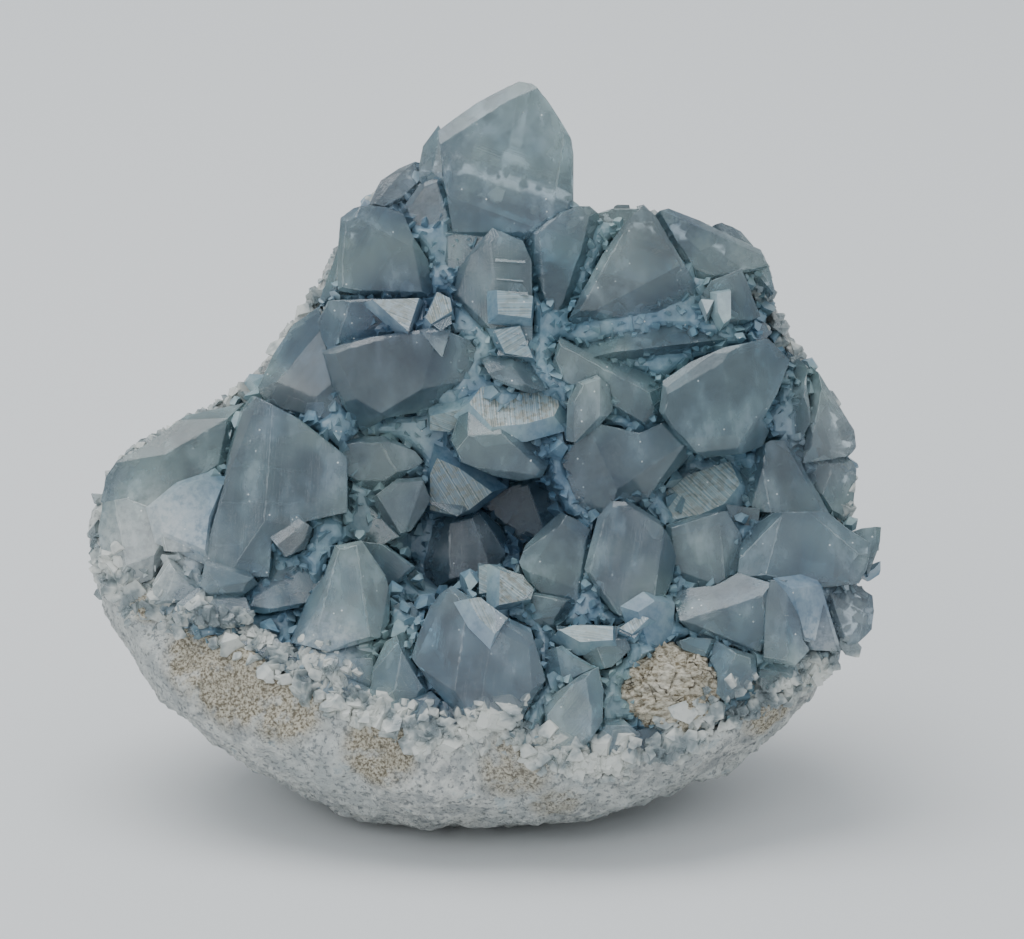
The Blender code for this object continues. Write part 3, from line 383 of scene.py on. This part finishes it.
def marl():
    """Dry beige marl, fibrous and cracked."""
    f = Finish("marl")
    fibre = f.noise(0.55, 4, 0.75, stretch=(0.4, 1, 1), turn=(0, 0.5, 0))
    cracks = 1 - f.cells(3.4, "DISTANCE_TO_EDGE").step(0.0, 0.04)
    cracks = cracks * f.noise(3, 2, 0.6).step(0.5, 0.6)
    colour = f.mix(fibre.step(0.36, 0.6), shade(104, 94, 74), shade(200, 194, 176))
    colour = f.mix(f.noise(4, 3, 0.6).step(0.5, 0.75) * 0.5, colour, shade(226, 222, 208))
    colour = f.mix(cracks * 0.9, colour, shade(66, 58, 46))
    return f.finish(f.surface(colour, 0.95, f.bump(fibre - cracks, 0.35, 0.9)))


# Pieces


def smooth(bm):
    """Moves every point half of the way to the middle of its neighbours."""
    bmesh.ops.smooth_vert(bm, verts=bm.verts, factor=0.5, use_axis_x=True, use_axis_y=True, use_axis_z=True)


def piece_from(bm, name, finish, node=None, smooth_shaded=False, relief=None):
    """A finished piece that rides on the part, in place of a CAD node if one is named. A relief tints it,
    with painted shade between the crystals and painted light at their tips.
    """
    if relief:
        tint_light_and_shade(bm, relief)
    mesh = bpy.data.meshes.new(name)
    bm.to_mesh(mesh)
    bm.free()
    points = np.empty(len(mesh.vertices) * 3, np.float32)
    mesh.vertices.foreach_get("co", points)
    points = np.clip(points.reshape(-1, 3), CAD_BOX[0], CAD_BOX[1])
    mesh.vertices.foreach_set("co", points.ravel())
    if smooth_shaded:
        mesh.shade_smooth()
    else:
        mesh.shade_flat()
    mesh.materials.append(finish)
    piece = bpy.data.objects.new(name, mesh)
    bpy.context.scene.collection.objects.link(piece)
    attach(piece, "root")
    if node:
        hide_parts(node)
    return piece


# The crystals

WORN_TURN = math.radians(16)
WORN_LENGTH = 1.2 * MM
WORN_WIDTH = 0.05 * MM
CHIP_SPACING = 0.7 * MM
CHIP_DEPTH = 0.22 * MM
MOST_CHIPS = 24
TINY_EDGE = 0.35 * MM
TONED_AREA = 6 * MM * MM
# Added for each metre to the right, so that one facet's growth lines don't run on in the next
GRAIN_SHIFT = 900

# Facets of the solids that look darker (below 0) or paler than their neighbours: painted shade below 0,
# painted light above it
FACET_LIGHT_AND_SHADE = {
    (349, 315): -0.8, (690, 290): -0.5, (640, 345): 0.2, (515, 460): -0.2, (600, 400): 0.2, (815, 620): -0.9,
    (330, 330): -0.5, (660, 250): 0.3, (575, 170): 0.4, (480, 100): 0.5, (720, 230): 0.4, (290, 535): 0.7,
    (545, 500): -0.8, (500, 500): -0.8, (560, 470): -0.5, (385, 500): -0.3, (610, 640): -0.2,
}


def worn_edges(bm):
    """The convex edges that are long and sharp enough to be worn, away from the mesh's tiny edges."""
    def short_nearby(vert):
        return any(edge.calc_length() < TINY_EDGE for edge in vert.link_edges)
    return [
        edge for edge in bm.edges
        if len(edge.link_faces) == 2 and edge.is_convex and edge.calc_face_angle() > WORN_TURN
        and edge.calc_length() > WORN_LENGTH and not any(short_nearby(vert) for vert in edge.verts)
    ]


def chip(bm, wear, dice):
    """Makes the borders of the worn strips uneven, each within the plane of its facet."""
    borders = {}
    for edge in bm.edges:
        if len(edge.link_faces) == 2 and edge.calc_length() > 2 * CHIP_SPACING:
            strips = [face for face in edge.link_faces if face[wear] > 0]
            if len(strips) == 1:
                borders.setdefault(min(int(edge.calc_length() / CHIP_SPACING), MOST_CHIPS), []).append(edge)
    for cuts, edges in borders.items():
        made = bmesh.ops.bisect_edges(bm, edges=edges, cuts=cuts)
        for vert in (item for item in made["geom_split"] if isinstance(item, bmesh.types.BMVert)):
            plain = [face for face in vert.link_faces if face[wear] == 0]
            strip = [face for face in vert.link_faces if face[wear] > 0]
            if len(plain) == 1 and len(strip) == 1:
                ends = [edge.other_vert(vert).co for edge in vert.link_edges[:2]]
                along = (ends[0] - ends[1]).normalized()
                inward = plain[0].normal.cross(along)
                if inward.dot(plain[0].calc_center_median() - vert.co) < 0:
                    inward.negate()
                vert.co += inward * CHIP_DEPTH * dice.random() ** 3


def draw_grain(bm):
    """Growth lines run along each facet's longest edge: the distance across them, in millimetres."""
    grain = bm.loops.layers.float.new("grain")
    for face in bm.faces:
        longest = max(face.edges, key=lambda edge: edge.calc_length())
        along = longest.verts[1].co - longest.verts[0].co
        across = face.normal.cross(along).normalized()
        for loop in face.loops:
            loop[grain] = loop.vert.co.dot(across) / MM + face.calc_center_median().x * GRAIN_SHIFT


def crystals(relief, finish):
    """The large crystals, each facet with a tone of its own, listed facets with painted shade and painted
    light, and their worn and chipped edges.
    """
    dice = random.Random(11)
    bm = solid_of("crystals")
    bmesh.ops.dissolve_limit(bm, angle_limit=FLAT_WITHIN, verts=bm.verts, edges=bm.edges)
    wear, tone_light_and_shade, _ = (bm.faces.layers.float.new(name) for name in ("wear", "tone_light_and_shade", "gleam"))
    for face in bm.faces:
        face[tone_light_and_shade] = dice.uniform(-0.35, 0.25) if face.calc_area() > TONED_AREA else 0.0
    tree = BVHTree.FromBMesh(bm)
    bm.faces.ensure_lookup_table()
    # Painted shade (below 0) and painted light (above 0) on the listed facets
    for (x, y), depth in FACET_LIGHT_AND_SHADE.items():
        index = tree.ray_cast(EYE, sight_line(x, y))[2]
        if index is not None:
            bm.faces[index][tone_light_and_shade] = depth
    made = bmesh.ops.bevel(
        bm, geom=worn_edges(bm), offset=WORN_WIDTH, offset_type="OFFSET", segments=1, profile=0.5,
        affect="EDGES", material=-1, clamp_overlap=False,
    )
    for face in made["faces"]:
        face[wear] = 1.0
    draw_grain(bm)
    chip(bm, wear, dice)
    bmesh.ops.triangulate(bm, faces=[face for face in bm.faces if len(face.verts) > 4])
    return piece_from(bm, "crystal_druse", finish, node="crystals", relief=relief)


# Small crystals that fill the gaps and line the lip


def habits(dice, count, sides, blunt):
    """Unit crystals on the XY plane, one high, each with its own slanted tip."""
    shapes = []
    for index in range(count):
        bm = bmesh.new()
        bmesh.ops.create_cone(bm, cap_ends=True, segments=sides, radius1=1.0, radius2=0.8, depth=1.0)
        bmesh.ops.translate(bm, vec=(0, 0, 0.5), verts=bm.verts)
        start = dice.uniform(0, math.tau)
        for cut in range(3):
            angle = start + cut * math.tau / 3 + dice.uniform(-0.5, 0.5)
            slant = Vector((math.cos(angle), math.sin(angle), blunt * dice.uniform(0.6, 1.3)))
            geometry = bm.verts[:] + bm.edges[:] + bm.faces[:]
            bmesh.ops.bisect_plane(
                bm, geom=geometry, plane_co=(0, 0, dice.uniform(0.85, 1.05)), plane_no=slant, clear_outer=True
            )
            bmesh.ops.holes_fill(bm, edges=[edge for edge in bm.edges if edge.is_boundary])
        shape = bpy.data.meshes.new("habit_%d" % index)
        bmesh.ops.recalc_face_normals(bm, faces=bm.faces)
        bm.to_mesh(shape)
        bm.free()
        shapes.append(shape)
    return shapes


def grow(bm, shape, root, way, width, height, dice):
    """Adds one small crystal that stands on its root."""
    spin = Matrix.Rotation(dice.uniform(0, math.tau), 4, "Z")
    turn = way.to_track_quat("Z", "Y").to_matrix().to_4x4() @ spin
    size = Matrix.Diagonal((width, width * dice.uniform(0.6, 1.0), height, 1.0))
    grown = shape.copy()
    grown.transform(Matrix.Translation(root) @ turn @ size)
    bm.from_mesh(grown)
    bpy.data.meshes.remove(grown)


def wobble(dice, amount):
    """A small random vector."""
    return Vector([dice.gauss(0, amount) for _ in range(3)])


GAP_SPACING = 0.6 * MM
GAP_SPAN = 130 * MM
GAP_MIDDLE = Vector((0, 5, 48)) * MM
GAP_REACH = 6
GAP_DEPTH = 0.9 * MM
BED_DEPTH = 1.3 * MM
BED_SIDES = 3.0 * MM
BED_THICKNESS = 1.2 * MM
BED_SMOOTHING = 4
GAP_CRYSTAL_SPACING = 1.7 * MM
GAP_STAND_OFF = 200 * MM
GAP_CRYSTAL_REACH = 3 * MM
BED_FACET_TURN = math.radians(13)
# Painted shade on the bed down in the gaps
BED_SHADE = -0.6
TINT_CORE = 0.2
# Painted shade down between the crystals, and painted light at their tips:
ROOT_DEPTH = 12 * MM
ROOT_SHADE = 0.25
TIP_DEPTH = 2.5 * MM
TIP_LIGHT = 0.2


class Relief:
    """The solids as seen from the front: how far away each point of a square net is, and how far if no gap
    that is narrower than the reach were there."""

    def __init__(self):
        self.count = int(GAP_SPAN / GAP_SPACING)
        self.far = np.full((self.count, self.count), np.inf)
        for row in range(self.count):
            for column in range(self.count):
                hit, _, _, far = WHOLE_TREE.ray_cast(self.place(row, column, 0), -BACK)
                if hit is not None:
                    self.far[row, column] = far
        reach = range(-GAP_REACH, GAP_REACH + 1)
        shifts = [(i, j) for i in reach for j in reach if i ** 2 + j ** 2 <= GAP_REACH ** 2]
        near = np.minimum.reduce([np.roll(self.far, shift, (0, 1)) for shift in shifts])
        self.filled = np.maximum.reduce([np.roll(near, shift, (0, 1)) for shift in shifts])
        self.near = near
        seen = np.isfinite(self.far)
        deep = np.where(seen, self.far, 0) - np.where(seen, self.filled, 0)
        deep_places = ((int(row), int(column)) for row, column in zip(*np.nonzero(deep > GAP_DEPTH)))
        self.gaps = [place for place in deep_places if self.is_by_crystals(*place)]

    def is_by_crystals(self, row, column):
        solid = self.place(row, column, self.far[row, column])
        return CRYSTAL_TREE.find_nearest(solid)[3] < GAP_CRYSTAL_REACH

    def below(self, points):
        """How far points lie behind the nearest crystal around them."""
        offsets = points - np.array(GAP_MIDDLE)
        nets = (offsets @ np.array(way) / GAP_SPACING + self.count / 2 for way in (RIGHT, UPWARD))
        columns, rows = (np.clip(np.rint(net).astype(int), 0, self.count - 1) for net in nets)
        far = GAP_STAND_OFF - offsets @ np.array(BACK)
        near = self.near[rows, columns]
        return np.where(np.isfinite(near), far - np.where(np.isfinite(near), near, 0), 0)

    def place(self, row, column, far):
        """The point of the net this far from where the net's lines of sight start."""
        across = RIGHT * (column - self.count / 2) + UPWARD * (row - self.count / 2)
        return GAP_MIDDLE + across * GAP_SPACING + BACK * (GAP_STAND_OFF - far)


def tint_light_and_shade(bm, relief):
    """Colours a piece's points: the listed places, painted shade down between crystals and painted light at
    their tips.
    """
    points = np.array([vert.co for vert in bm.verts])
    colours = np.zeros((len(points), 4))

    def blend(colour, share):
        colours[:] = colours * (1 - share[:, None]) + np.array((*colour, 1.0)) * share[:, None]

    for (x, y), reach, colour, amount in CRYSTAL_TINTS_AND_SHADE:
        away = np.linalg.norm(points - np.array(seen_at(x, y)), axis=1) / (reach * MM)
        away = np.clip((away - TINT_CORE) / (1 - TINT_CORE), 0, 1)
        blend(colour, amount * (1 - away * away * (3 - 2 * away)))
    # Painted shade: navy deeper down between crystals. Painted light: milky near their tips.
    below = relief.below(points)
    far_side = np.clip((below - ROOT_DEPTH * 1.5) / ROOT_DEPTH, 0, 0.8)
    blend(NAVY, ROOT_SHADE * np.clip(below / ROOT_DEPTH, 0, 1) * (1 - far_side))
    blend(MILK, TIP_LIGHT * np.clip(1 - below / TIP_DEPTH, 0, 1))
    colours[:, :3] /= np.maximum(colours[:, 3:], 1e-6)
    layer = bm.loops.layers.float_color.new("tint_light_and_shade")
    for vert, colour in zip(bm.verts, colours):
        for loop in vert.link_loops:
            loop[layer] = colour


def gap_bed(relief, finish):
    """What fills the narrow gaps between the big crystals, nearly up to their faces."""
    half = relief.count / 2
    cells = set(relief.gaps)

    def cell_of(face):
        middle = face.calc_center_median()
        return int(middle.y + half), int(middle.x + half)

    bm = bmesh.new()
    bmesh.ops.create_grid(bm, x_segments=relief.count, y_segments=relief.count, size=half)
    bmesh.ops.delete(bm, geom=[face for face in bm.faces if cell_of(face) not in cells], context="FACES")
    places = {}
    for vert in bm.verts:
        around = [cell_of(face) for face in vert.link_faces]
        far = max(relief.filled[cell] for cell in around) + (BED_DEPTH if len(around) == 4 else BED_SIDES)
        places[vert] = relief.place(vert.co.y + half - 0.5, vert.co.x + half - 0.5, far)
    for vert, place in places.items():
        vert.co = place
    for _ in range(BED_SMOOTHING):
        smooth(bm)
    bmesh.ops.dissolve_limit(bm, angle_limit=BED_FACET_TURN, verts=bm.verts, edges=bm.edges)
    bmesh.ops.triangulate(bm, faces=bm.faces)
    made = bmesh.ops.extrude_face_region(bm, geom=bm.faces[:])
    moved = [item for item in made["geom"] if isinstance(item, bmesh.types.BMVert)]
    bmesh.ops.translate(bm, vec=BACK * -BED_THICKNESS, verts=moved)
    bmesh.ops.recalc_face_normals(bm, faces=bm.faces)
    # The bed gets painted shade.
    tone_light_and_shade = bm.faces.layers.float.new("tone_light_and_shade")
    for face in bm.faces:
        face[tone_light_and_shade] = BED_SHADE
    return piece_from(bm, "gap_bed", finish, relief=relief)


def gap_crystals(relief, finish):
    """Smaller crystals that stand in the gaps between the big ones."""
    dice = random.Random(5)
    shapes = habits(dice, 14, 5, 0.9)
    bm = bmesh.new()
    taken = []
    cells = relief.gaps[:]
    dice.shuffle(cells)
    for row, column in cells:
        width = dice.uniform(0.6, 2.2) * MM
        top = relief.place(row, column, relief.filled[row, column] + dice.uniform(0.1, 0.9) * MM)
        if all((top - other).length > GAP_CRYSTAL_SPACING * 0.5 + width * 0.5 for other in taken):
            taken.append(top)
            way = (BACK + wobble(dice, 0.2)).normalized()
            height = width * dice.uniform(1.6, 2.6)
            grow(bm, dice.choice(shapes), top - way * height, way, width, height, dice)
    tone_light_and_shade = bm.faces.layers.float.new("tone_light_and_shade")
    for face in bm.faces:
        face[tone_light_and_shade] = dice.uniform(-0.7, 0.2)
    return piece_from(bm, "gap_crystals", finish, relief=relief)


LIP_REACH = 2.6 * MM
LIP_CLEAR = 2.0 * MM
LIP_START = 0.05 * MM
LIP_SHARE = 2.4 * MM * MM
LIP_LINE = (
    (95, 540), (108, 570), (135, 600), (160, 605), (240, 620), (290, 645), (330, 660), (350, 700),
    (400, 715), (430, 735), (460, 725), (495, 722), (525, 722), (560, 755), (605, 762), (655, 745),
    (725, 700), (800, 680), (842, 662),
)
LIP_GRAINS_PER_PIXEL = 1.1
LIP_SCATTER = 9
LIP_DROP = 5
LIP_SUNK = 0.55


def lip_places(dice):
    """Places where the crystals meet the rind all round, and more along the lip that the photo shows."""
    for node, tree in (("rind", CRYSTAL_TREE), ("crystals", RIND_TREE)):
        bm = solid_of(node)
        for face in bm.faces:
            for _ in range(int(face.calc_area() / LIP_SHARE + dice.random())):
                share = sorted((dice.random(), dice.random()))
                corners = [vert.co for vert in face.verts]
                place = corners[0] * share[0] + corners[1] * (share[1] - share[0])
                place += corners[2] * (1 - share[1])
                if tree.find_nearest(place)[3] < LIP_REACH:
                    start = place + face.normal * LIP_START
                    if WHOLE_TREE.ray_cast(start, face.normal, LIP_CLEAR)[0] is None:
                        yield place, face.normal.copy()
        bm.free()
    for start, end in zip(LIP_LINE, LIP_LINE[1:]):
        span = math.dist(start, end)
        for _ in range(int(span * LIP_GRAINS_PER_PIXEL)):
            share = dice.random()
            x, y = (start[i] + (end[i] - start[i]) * share + dice.gauss(0, LIP_SCATTER) for i in (0, 1))
            y += LIP_DROP
            hit, normal, _, _ = WHOLE_TREE.ray_cast(EYE, sight_line(x, y))
            if hit is not None:
                yield hit, normal


def lip_frost(finish):
    """Frosty grains and stubby crystals on the lip between crystals and rind."""
    dice = random.Random(8)
    shapes = habits(dice, 12, 5, 1.0)
    bm = bmesh.new()
    for place, normal in lip_places(dice):
        way = (normal + wobble(dice, 0.4)).normalized()
        width = dice.uniform(0.5, 1.1) * MM * (1 + dice.random() ** 3 * 1.6)
        height = width * dice.uniform(0.8, 1.5)
        grow(bm, dice.choice(shapes), place - way * height * LIP_SUNK, way, width, height, dice)
    return piece_from(bm, "lip_frost", finish)


# Facets that the photo shows plainly, as plates that lie on the crystals: corners, gleam, tone, and how far
# their lines are turned from level, in degrees
TRIANGLE = ((373, 300), (419, 298), (408, 331))
HEART_STEP = ((437, 292), (450, 298), (452, 311), (431, 324), (426, 318))
CAP_TOP = (
    (469, 403), (482, 386), (495, 390), (525, 393), (557, 391), (559, 406), (554, 416), (525, 424),
    (492, 427),
)
STRAW_LEFT = ((430, 474), (437, 458), (459, 468), (492, 492), (469, 510), (453, 515), (430, 510))
STRAW_SLIVER = ((430, 416), (463, 409), (459, 422), (450, 432), (430, 430))
STRAW_RIGHT = ((659, 501), (672, 484), (691, 474), (730, 461), (740, 484), (724, 504), (701, 514), (672, 520))
GLITTER_DARK = ((479, 566), (489, 564), (500, 570), (499, 590), (479, 594))
GLITTER_BRIGHT = ((500, 570), (525, 579), (534, 589), (531, 599), (499, 605))
GLITTER_LOW = ((468, 599), (479, 597), (508, 618), (495, 634), (479, 618))
GLITTER_FLAT = ((559, 630), (574, 625), (613, 626), (613, 640), (580, 642))
GLITTER_RIGHT = ((619, 628), (639, 615), (649, 618), (632, 634))
LADDER_STEP = ((497, 290), (533, 296), (531, 318), (498, 314))
LADDER_FOOT = ((494, 330), (520, 326), (533, 358), (505, 353))
CUBE_TOP = ((701, 299), (714, 300), (707, 314))
CUBE_SIDE = ((717, 294), (731, 291), (731, 318), (724, 324), (718, 312))
DARK_LEFT = ((157, 506), (180, 487), (201, 480), (223, 484), (209, 517), (205, 550), (164, 532))
DARK_RIGHT = ((792, 589), (821, 585), (841, 650), (805, 637))
DARK_LOW = ((638, 612), (655, 601), (675, 604), (672, 640), (650, 652))
# A plate's gleam is a painted reflection of the light. Its tone is painted shade below 0 and painted light
# above it.
PLATES = (
    (TRIANGLE, 0.8, 0.4, 20), (HEART_STEP, 0.9, 0.0, 70), (CAP_TOP, 1.0, 0.0, 82), (STRAW_LEFT, 0.9, 0.0, 60),
    (STRAW_SLIVER, 0.7, 0.0, 20), (STRAW_RIGHT, 0.8, -0.2, 35), (GLITTER_DARK, 0.6, -0.5, 10),
    (GLITTER_BRIGHT, 1.0, 0.2, 40), (GLITTER_LOW, 0.7, 0.2, 60), (GLITTER_FLAT, 0.6, -0.3, 5),
    (GLITTER_RIGHT, 0.8, 0.3, 60), (LADDER_STEP, 0.6, -0.5, 4), (LADDER_FOOT, 0.6, -0.5, -28),
    (CUBE_TOP, 0.1, 0.8, 20), (CUBE_SIDE, 0.1, 0.5, 80), (DARK_LEFT, 0.0, -0.9, 50),
    (DARK_RIGHT, 0.0, -0.9, 80), (DARK_LOW, 0.0, -0.9, 60),
)
PLATE_LIFT = 0.45 * MM
PLATE_WIDENING = 1.35
PLATE_DEPTH = 2.5 * MM
PLATE_FRONT_WITHIN = 0.1 * MM
# Painted shade on the plates' sides
PLATE_SIDE_SHADE = -0.3


def plate(bm, corners, gleam, tone_light_and_shade, turn):
    """A closed plate with a flat front whose corners are on these pixels, just above the crystals."""
    places = [seen_at(x, y) for x, y in corners]
    centre = sum(places, Vector()) / len(places)
    spread = np.array([place - centre for place in places])
    normal = Vector(np.linalg.svd(spread)[2][2])
    if normal.dot(BACK) < 0:
        normal.negate()
    normal = (normal + BACK).normalized()
    inner = [(place + centre) / 2 for place in places]
    samples = places + [WHOLE_TREE.ray_cast(EYE, (place - EYE).normalized())[0] or place for place in inner]
    height = sorted(normal.dot(place) for place in samples)[-2] + PLATE_LIFT
    front = []
    for x, y in corners:
        way = sight_line(x, y)
        front.append(bm.verts.new(EYE + way * (height - normal.dot(EYE)) / normal.dot(way)))
    face = bm.faces.new(front)
    face.normal_update()
    across = Matrix.Rotation(math.radians(turn), 3, "Y") @ Vector((0, 0, 1))
    middle = sum((vert.co for vert in front), Vector()) / len(front)
    made = bmesh.ops.extrude_face_region(bm, geom=[face])
    back = [item for item in made["geom"] if isinstance(item, bmesh.types.BMVert)]
    for vert in back:
        vert.co = middle + (vert.co - middle) * PLATE_WIDENING - normal * PLATE_DEPTH
    for face in {face for vert in front + back for face in vert.link_faces}:
        to_front = face.calc_center_median().dot(normal) > middle.dot(normal) - PLATE_FRONT_WITHIN
        # Fronts carry the gleam, a painted reflection of the light. Sides get painted shade.
        face[bm.faces.layers.float["gleam"]] = gleam if to_front else 0.0
        face[bm.faces.layers.float["tone_light_and_shade"]] = tone_light_and_shade if to_front else tone_light_and_shade + PLATE_SIDE_SHADE
        for loop in face.loops:
            loop[bm.loops.layers.float["grain"]] = loop.vert.co.dot(across) / MM


def bright_facets(relief, finish):
    """All the plates, as one piece."""
    bm = bmesh.new()
    for name in ("wear", "tone_light_and_shade", "gleam"):
        bm.faces.layers.float.new(name)
    bm.loops.layers.float.new("grain")
    for corners, gleam, tone_light_and_shade, turn in PLATES:
        plate(bm, corners, gleam, tone_light_and_shade, turn)
    bmesh.ops.recalc_face_normals(bm, faces=bm.faces)
    return piece_from(bm, "bright_facets", finish, relief=relief)


# The rind and the marl


RIND_NET = 0.85 * MM
MARL_NET = 0.22 * MM
# How high above the ground the rind is flaky, in mm
FLAKY_HEIGHT = 22


def remeshed(node, voxel):
    """A bmesh of a CAD node with an even net of small faces."""
    bm = solid_of(node)
    mesh = bpy.data.meshes.new("rough_" + node)
    bm.to_mesh(mesh)
    bm.free()
    rough = bpy.data.objects.new("rough_" + node, mesh)
    bpy.context.scene.collection.objects.link(rough)
    net = rough.modifiers.new("net", "REMESH")
    net.mode = "VOXEL"
    net.voxel_size = voxel
    bm = bmesh.new()
    bm.from_object(rough, bpy.context.evaluated_depsgraph_get())
    bpy.data.objects.remove(rough)
    bpy.data.meshes.remove(mesh)
    bm.normal_update()
    return bm


def rind(finish):
    """The shell, with lumps, pits and flaky layers along its foot."""
    bm = remeshed("rind", RIND_NET)
    smooth(bm)
    bm.normal_update()
    for vert in bm.verts:
        place = vert.co / MM
        lumps = noise.fractal(place / 5.5, 0.9, 2.1, 4)
        grains = noise.noise(place / 1.3)
        pitted = max(0.0, noise.noise(place / 6 + Vector((9, 3, 5))) + 0.25)
        pits = max(0.0, 0.42 - noise.voronoi(place / 2.6)[0][0]) * pitted
        near_foot = max(0.0, 1 - place.z / FLAKY_HEIGHT)
        layers = abs((place.z * 0.55 + noise.noise(place / 7) * 1.4) % 1.0 - 0.5) * near_foot
        rise = lumps * 0.75 + grains * 0.35 - pits * 3.2 - layers * 1.5 - 0.2
        vert.co += vert.normal * rise * MM
    return piece_from(bm, "rind_shell", finish, node="rind", smooth_shaded=True)


def marl_crumb(finish):
    """The crumb, with torn layers and deep cracks."""
    bm = remeshed("marl_lump", MARL_NET)
    bm.normal_update()
    for vert in bm.verts:
        place = vert.co / MM
        leaning = place.z * 0.8 + place.x * 0.35 + noise.noise(place / 4) * 2.2
        layers = abs(leaning * 1.5 % 1.0 - 0.5)
        crumbs = noise.fractal(Vector((place.x * 0.5, place.y, place.z)) / 1.1, 0.7, 2.2, 5)
        crack = max(0.0, 0.08 - abs(noise.noise(place / 4.5 + Vector((2, 8, 1)))))
        vert.co += vert.normal * (crumbs * 0.6 - layers * 0.4 - crack * 10) * MM
    return piece_from(bm, "marl_crumb", finish, node="marl_lump", smooth_shaded=True)


# Studio


ROOM_COLOUR = (0.90, 0.95, 1.0, 1.0)
ROOM_BRIGHTNESS = 0.84
FLOOR_SIZE = 4.0
FLOOR_COLOUR = (0.74, 0.755, 0.76, 1.0)
LIT_PLACE = (0, 0, 0.05)


def area_light(name, place, size, power, colour=WHITE):
    """A round lamp that faces the part."""
    lamp = bpy.data.lights.new(name, "AREA")
    lamp.shape = "DISK"
    lamp.size = size
    lamp.energy = power
    lamp.color = colour
    light = bpy.data.objects.new(name, lamp)
    light.location = place
    light.rotation_euler = (Vector(LIT_PLACE) - Vector(place)).to_track_quat("-Z", "Y").to_euler()
    bpy.context.scene.collection.objects.link(light)


def studio():
    """A pale floor in a pale room, two soft lamps and the camera."""
    bm = bmesh.new()
    bmesh.ops.create_grid(bm, x_segments=1, y_segments=1, size=FLOOR_SIZE)
    mesh = bpy.data.meshes.new("floor")
    bm.to_mesh(mesh)
    bm.free()
    f = Finish("floor")
    mesh.materials.append(f.finish(f.surface(FLOOR_COLOUR, 0.9)))
    floor = bpy.data.objects.new("floor", mesh)
    bpy.context.scene.collection.objects.link(floor)
    world = bpy.data.worlds.new("studio")
    world.use_nodes = True
    background = world.node_tree.nodes["Background"]
    background.inputs["Color"].default_value = ROOM_COLOUR
    background.inputs["Strength"].default_value = ROOM_BRIGHTNESS
    bpy.context.scene.world = world
    area_light("overhead", (-0.25, 0.15, 1.0), size=0.9, power=6.8)
    area_light("front", (-0.5, -1.1, 0.7), size=0.8, power=3.5, colour=(0.95, 0.98, 1.0))
    lens = bpy.data.cameras.new("camera")
    lens.lens = LENS
    lens.clip_start = 0.05
    camera = bpy.data.objects.new("camera", lens)
    camera.matrix_world = Matrix.Translation(EYE) @ Matrix((RIGHT, UPWARD, BACK)).transposed().to_4x4()
    bpy.context.scene.collection.objects.link(camera)
    bpy.context.scene.camera = camera


studio()
crystal_finish = celestite("celestite")
small_finish = celestite("small_celestite", SMALL_FROSTING)
relief = Relief()
crystals(relief, crystal_finish)
bright_facets(relief, small_finish)
gap_bed(relief, small_finish)
gap_crystals(relief, small_finish)
lip_frost(frost())
rind(rind_stone())
marl_crumb(marl())
